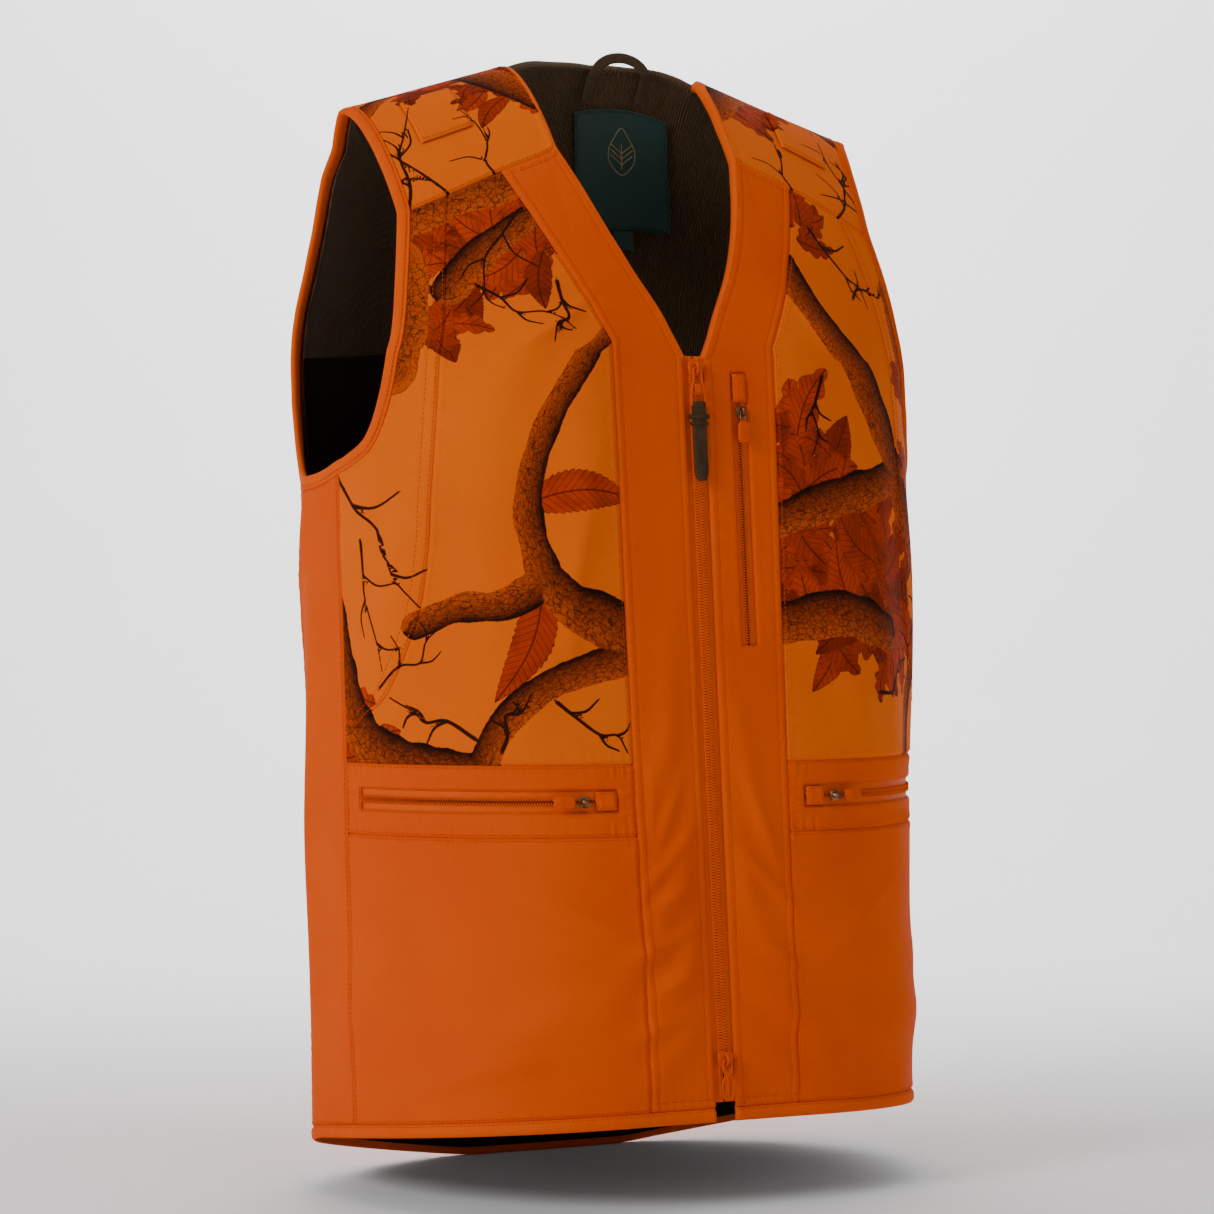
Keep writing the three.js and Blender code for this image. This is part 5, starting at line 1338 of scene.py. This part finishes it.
crest = [(0, -27), (2.6, -29), (2.4, -33), (0, -36.6), (-2.4, -33), (-2.6, -29)]
solid("tab_strap", [slab(strap[::-1], BAR, 2.7, place, 0.7), slab(rounded(-3.3, 3.3, -2.3, 2.3, 1.0), BAR, 4.4, place, 0.6)], LEATHER,
      "leather", ["pull_tab"], "tab")
solid("tab_keeper", [slab(rounded(-7.4, 7.4, -9.6, -6.2, 1.3), BAR, 3.9, place, 0.6),
                     slab(rounded(-6.6, 6.6, -14.0, -11.6, 1.1), BAR, 3.6, place, 0.5)], LEATHER, "leather", [], "tab")
solid("tab_crest", [ring_part(crest, oval(0.7, 0.6, 8), BAR + 1.5, place), slab([(-0.35, -34.4), (0.35, -34.4), (0.5, -28.8), (-0.5, -28.8)], BAR + 1.45, 0.5, place, 0.15)],
      LEATHER, "leather", [], "tab")
place = on_front(0.0, LOW_Z)
solid("bottom_slider_metal", slider_parts(6.0, 5.5, place), ENAMEL, "painted_metal", ["bottom_slider_body"], "bottom_slider")
place = on_front(0.0, LOW_Z - 1)
solid("bottom_pull_metal", [
    ring_part([(-2.7, 0.0), (0, 0.75), (2.7, 0.0), (3.0, -6.0), (0, -9.4), (-3.0, -6.0)], oval(1.4, 1.5, 10, 2.6), BAR, place),
    ring_part([(0, -9.6), (3.4, -12.4), (4.1, -18), (3.2, -23.4), (0, -25.4), (-3.2, -23.4), (-4.1, -18), (-3.4, -12.4)], oval(1.4, 1.5, 10, 2.6), BAR, place)],
      ENAMEL, "painted_metal", ["bottom_slider_pull"], "bottom_pull")


def small_zip_fittings(tag, body_place, pull_place, slider_node, pull_node, slider_ride, pull_ride):
    """A small slider, and a moulded tab on its short wire link."""
    solid(f"{tag}_slider_metal", slider_parts(4.0, 4.0, body_place), METAL, "metal", [slider_node], slider_ride)
    link = ring_part([(-1.9, 0.0), (0, 0.7), (1.9, 0.0), (1.9, -5.4), (1.3, -8.6), (-1.3, -8.6), (-1.9, -5.4)], oval(0.9, 0.9, 8), BAR, pull_place)
    solid(f"{tag}_pull_link", [link], METAL, "metal", [], pull_ride)
    tab = [(-2.6, -6.4), (-4.0, -8.4), (-4.2, -18.6), (-3.0, -20.8), (3.0, -20.8), (4.2, -18.6), (4.0, -8.4), (2.6, -6.4)]
    grips = [slab(rounded(-2.7, 2.7, y, y + 0.9, 0.4), BAR + 1.45, 0.7, pull_place, 0.2) for y in (-12.4, -14.6, -16.8)]
    solid(f"{tag}_pull_tab", [slab(tab, BAR, 3.0, pull_place, 0.8), *grips], MOULDED, "zip_plastic", [pull_node], pull_ride)


small_zip_fittings("chest", on_front(CHEST_X, CHEST_Z), on_front(CHEST_X, CHEST_Z - 0.5), "chest_zip_slider", "chest_zip_pull",
                   "chest_slider", "chest_pull")
for s, side in SIDES:
    local = on_pocket(s)
    small_zip_fittings(f"{side}_pocket", local, lambda p, local=local: local(np.asarray(p, float) - (0, 0.5, 0)),
                       f"{side}_pocket_slider", f"{side}_pocket_pull", f"{side}_pocket_slider", f"{side}_pocket_pull")


# ------------------------------------------------------------------ zip garages, yoke patches
def small_cloth(name, grid, place, material, slot, nodes, low, high, held, seams="lrbt", rows=(1.4,), group="seams"):
    """A small flat piece laid on a local frame."""
    local = np.concatenate([grid, np.zeros(grid.shape[:2] + (1,))], -1)
    base = place(local)
    n = unit(place(local + (0, 0, 1)) - base)
    return cloth(name, grid, material, slot, nodes, low, high, seams=seams, stitched=seams, rows=rows, ready=(base, n),
                 held=held, pucker=0.1, group=group)


small_cloth("chest_garage", patch(np.array([[-5.2, -20], [-5.2, -0.4]]), np.array([[5.2, -20], [5.2, -0.4]]), step=0.9),
            on_front(CHEST_X, CHEST_HIGH), PLAIN, "plain_shell", ["chest_zip_garage"], 1.8, 2.9, "stretched")
for s, side in SIDES:
    lo, hi = POCKET_IN + 0.3, REST - 3
    t, f = np.linspace(0, 1, 26)[:, None], np.linspace(0, 1, 16)[None]
    u, h = np.broadcast_arrays(s * around(lo + (hi - lo) * (t if s > 0 else 1 - t)).T, Z_POCKET - 6.3 + 12.6 * f.T)
    cloth(f"{side}_pocket_garage_cloth", np.stack([u, h], -1), PLAIN, "plain_shell", [f"{side}_pocket_garage"], 1.8, 2.9,
          rows=(1.4,), folds=0.0, held="stretched", pucker=0.1)
    t, x0 = (0.32 + 0.40 * lines(60, 1.8))[:, None], (118 + 38 * lines(42, 1.8))[None]
    ends = [at(x, z)[1] - H_TOP for x, z in ((70, 720), (178, 671))]
    w = (ends[0] + (ends[1] - ends[0]) * (x0 - 70) / 108) * (1 - t)
    x = x0 + 10 * t
    x, w = (x, w + 0 * x) if s > 0 else (-x[:, ::-1], (w + 0 * x)[:, ::-1])
    base, n = over_surface(x, w)
    cloth(f"{side}_sling_patch", np.stack([x, H_TOP + w], -1), PRINT, "printed_shell", [f"{side}_shoulder_patch"], 3.0, 4.1,
          attributes=print_fields(x, H_TOP + w, yoke_design(s)), ready=(base, n), held="stretched", rows=(2.0,), pucker=0.12)


# ------------------------------------------------------------------ neck label, size tab and hanging loop
def label_place(p):
    """Local x to the wearer's left, y up and z toward the front, turned by LABEL_TURN, laid on the back lining."""
    p = np.asarray(p, float)
    c, s = math.cos(LABEL_TURN), math.sin(LABEL_TURN)
    base, n = surface(HALF - LABEL_X - p[..., 0] * c + p[..., 1] * s, LABEL_H + p[..., 0] * s + p[..., 1] * c, 0.0, 0.0)
    return base - n * (7.6 + p[..., 2])[..., None]


def rectangle(w, l, y0, step):
    """A grid over a rectangle of half width w and half height l, with its middle at y0."""
    return patch(np.array([[-w, y0 - l], [-w, y0 + l]]), np.array([[w, y0 - l], [w, y0 + l]]), step=step)


small_cloth("neck_label_cloth", rectangle(*LABEL_HALF, 0.0, 2.4), label_place, LABEL, "label", ["neck_label"], 0.0, 1.0,
            "stretched", rows=(), seams="")
corner = np.array([(-1, -1), (1, -1), (1, 1), (-1, 1)]) * (LABEL_HALF[0] - 1.5, LABEL_HALF[1] - 1.5)
zig = straight(np.concatenate([corner, corner[:1]]), 1)
t = np.arange(0, 1, 1.9 / edge_length(zig))
along = resample(zig, t)
side_way = unit(np.roll(along, -1, 0) - np.roll(along, 1, 0))[:, ::-1] * (1, -1)
zigzag = along + side_way * np.where(np.arange(len(t)) % 2, 1.5, -1.5)[:, None]
fine = straight(np.concatenate([zigzag, zigzag[:1]]), 2)[:-1]
p, f = tube(np.concatenate([fine, np.full((len(fine), 1), 1.15)], 1), oval(0.55, 0.4, 6), closed=True, up=(0, 0, 1))
veins = [(0, -2, 0, 16)] + [(0, y, s * 9, y + 7) for y in (1, 5, 9) for s in (-1, 1)]
emblem = [ring_part([(0, -6), (9.5, 2), (10.5, 12), (5.5, 21), (0, 28), (-5.5, 21), (-10.5, 12), (-9.5, 2)], oval(0.8, 0.5, 8), 1.2, label_place)]
for x0, y0, x1, y1 in veins:
    line = np.stack([np.linspace(x0, x1, 6), np.linspace(y0, y1, 6), np.full(6, 1.15)], -1)
    q, g = tube(line, oval(0.8, 0.5, 8), up=(0, 0, 1))
    emblem.append((label_place(q), g))
solid("label_edge_stitch", [(label_place(p), f)], LABEL_EDGE, "label")
solid("label_emblem", emblem, LABEL_TRIM, "label")
small_cloth("size_tab_cloth", rectangle(*TAB_HALF, -LABEL_HALF[1] - TAB_HALF[1] - 0.6, 1.0), label_place, LABEL, "label",
            ["size_tab"], 0.0, 1.0, "stretched", rows=(), seams="")

t = np.linspace(0, np.pi, 40)
arch = np.stack([-21.2 * np.cos(t), LOOP_Z + 15.6 * np.sin(t)], -1)
leg = np.linspace(LOOP_Z - 16, LOOP_Z - 1, 8)
line = np.concatenate([np.stack([np.full(8, -21.2), leg], -1), arch, np.stack([np.full(8, 21.2), leg[::-1]], -1)])
spot = body(at(LOOP_X + 25, 789, True)[0], np.array([at(LOOP_X + 25, min(z, LOOP_Z + 5), True)[1] for z in line[:, 1]]))
path = np.stack([LOOP_X + line[:, 0], spot[:, 1] - 13, line[:, 1]], -1)
p, f = tube(path, oval(7.6, 1.5, 14, 3.0), up=(0, -1, 0))
loop = solid("hanging_loop_tape", [(p, f)], LOOP_KNIT, "knit_lining", ["hanging_loop"])
loop_length = float(np.linalg.norm(np.diff(path, axis=0), axis=1).sum())
declare(loop.name, loop_length * 8.1, 12.0, loop_length, "hung")


# ------------------------------------------------------------------ stitches
def stitched_rows(name, rows, material, pitch=3.3, length=2.4):
    """Threads of a seam: a small rounded stitch at every pitch along each line, lying along it on the cloth."""
    points, faces = grain(length, 0.55, 0.42, 6, 4, 2.0)
    spots, frames = [], []
    for line, normals, trim in rows:
        s = np.concatenate([[0], np.cumsum(np.linalg.norm(np.diff(line, axis=0), axis=1))])
        if s[-1] < 2 * trim + 2 * pitch:
            continue
        at_s = np.arange(trim + pitch / 2, s[-1] - trim, pitch)
        here = np.stack([np.interp(at_s, s, line[:, k]) for k in range(3)], -1)
        ahead = np.stack([np.interp(at_s + 0.6, s, line[:, k]) for k in range(3)], -1)
        back = np.stack([np.interp(at_s - 0.6, s, line[:, k]) for k in range(3)], -1)
        n = unit(np.stack([np.interp(at_s, s, normals[:, k]) for k in range(3)], -1))
        run = unit(ahead - back)
        spots.append(here + n * 0.05)
        frames.append(np.stack([np.cross(run, n), run, n], 1))
    spots, frames = np.concatenate(spots), np.concatenate(frames)
    verts, faces = scatter(points, faces, len(spots), lambda p: np.einsum("cpk,ckx->cpx", p, frames) + spots[:, None])
    return finish(mesh_object(name, *facing_out(verts, faces), material), "plain_shell")


for group, rows in STITCHES.items():
    stitched_rows(f"stitching_{group}", rows, THREAD)


# ------------------------------------------------------------------ floor, light and camera
def area_light(name, place, aim, size, power, colour=(1, 1, 1)):
    data = bpy.data.lights.new(name, "AREA")
    data.shape, data.size, data.energy, data.color = "SQUARE", size, power, colour
    lamp = bpy.data.objects.new(name, data)
    lamp.location = place
    lamp.rotation_euler = (Vector(aim) - Vector(place)).to_track_quat("-Z", "Y").to_euler()
    bpy.context.scene.collection.objects.link(lamp)


def backdrop():
    """Pale floor that curves up behind, in one strip: level, a quarter turn, then upright."""
    p = Paint("pale_floor", rough=0.9, specular=0.1)
    mottle = p.noise(p.place(), 6.0, 3.0)
    p.into("Base Color", p.mix(mottle, (0.95, 0.95, 0.95, 1), (0.98, 0.98, 0.98, 1)))
    t = np.linspace(0, np.pi / 2, 14)
    run = np.concatenate([[-5.0, 1.4], 1.4 + 1.2 * np.sin(t[1:]), [2.6]])
    rise = np.concatenate([[0, 0], 1.2 * (1 - np.cos(t[1:])), [5.0]])
    c, s = math.cos(math.radians(CAMERA_TURN)), math.sin(math.radians(CAMERA_TURN))
    wide = np.array([-5.0, 5.0])
    grid = np.stack([np.stack([wide * c - r * s, wide * s + r * c, 0 * wide + z], -1) for r, z in zip(run, rise)])
    ids = np.arange(len(run) * 2).reshape(-1, 2)
    quads = np.stack([ids[:-1, 0], ids[:-1, 1], ids[1:, 1], ids[1:, 0]], -1)
    mesh_object("floor", grid.reshape(-1, 3) / M, quads, p.material)


CAMERA_TURN, CAMERA_FAR, CAMERA_Z, CAMERA_SIDE = -26.2, 2.396, 0.403, -0.0125
backdrop()
turn = math.radians(CAMERA_TURN)
back = np.array([math.sin(turn), -math.cos(turn), 0])
right = np.array([math.cos(turn), math.sin(turn), 0])
eye = np.array([0, 0.0125, CAMERA_Z]) + back * CAMERA_FAR + right * CAMERA_SIDE
camera = bpy.data.objects.new("camera", bpy.data.cameras.new("camera"))
camera.data.lens, camera.data.sensor_width = 100.2, 36.0
camera.location = eye
camera.rotation_euler = Vector(-back).to_track_quat("-Z", "Y").to_euler()
bpy.context.scene.collection.objects.link(camera)
bpy.context.scene.camera = camera
area_light("key", eye + right * -2.2 + back * -0.3 + (0, 0, 1.3), (0, 0, 0.4), 1.0, 52)
area_light("fill", eye + right * 2.0 + (0, 0, 0.7), (0, 0, 0.4), 2.0, 6)
area_light("top", np.array([0.0, -0.2, 2.6]), (0, 0, 0.4), 1.4, 12)
area_light("behind", back * -1.0 + (0, 0, 2.6), back * -2.6 + (0, 0, 2.1), 2.0, 150)
world = bpy.data.worlds.new("studio")
world.use_nodes = True
world.node_tree.nodes["Background"].inputs["Color"].default_value = (1, 1, 1, 1)
world.node_tree.nodes["Background"].inputs["Strength"].default_value = 0.30
bpy.context.scene.world = world
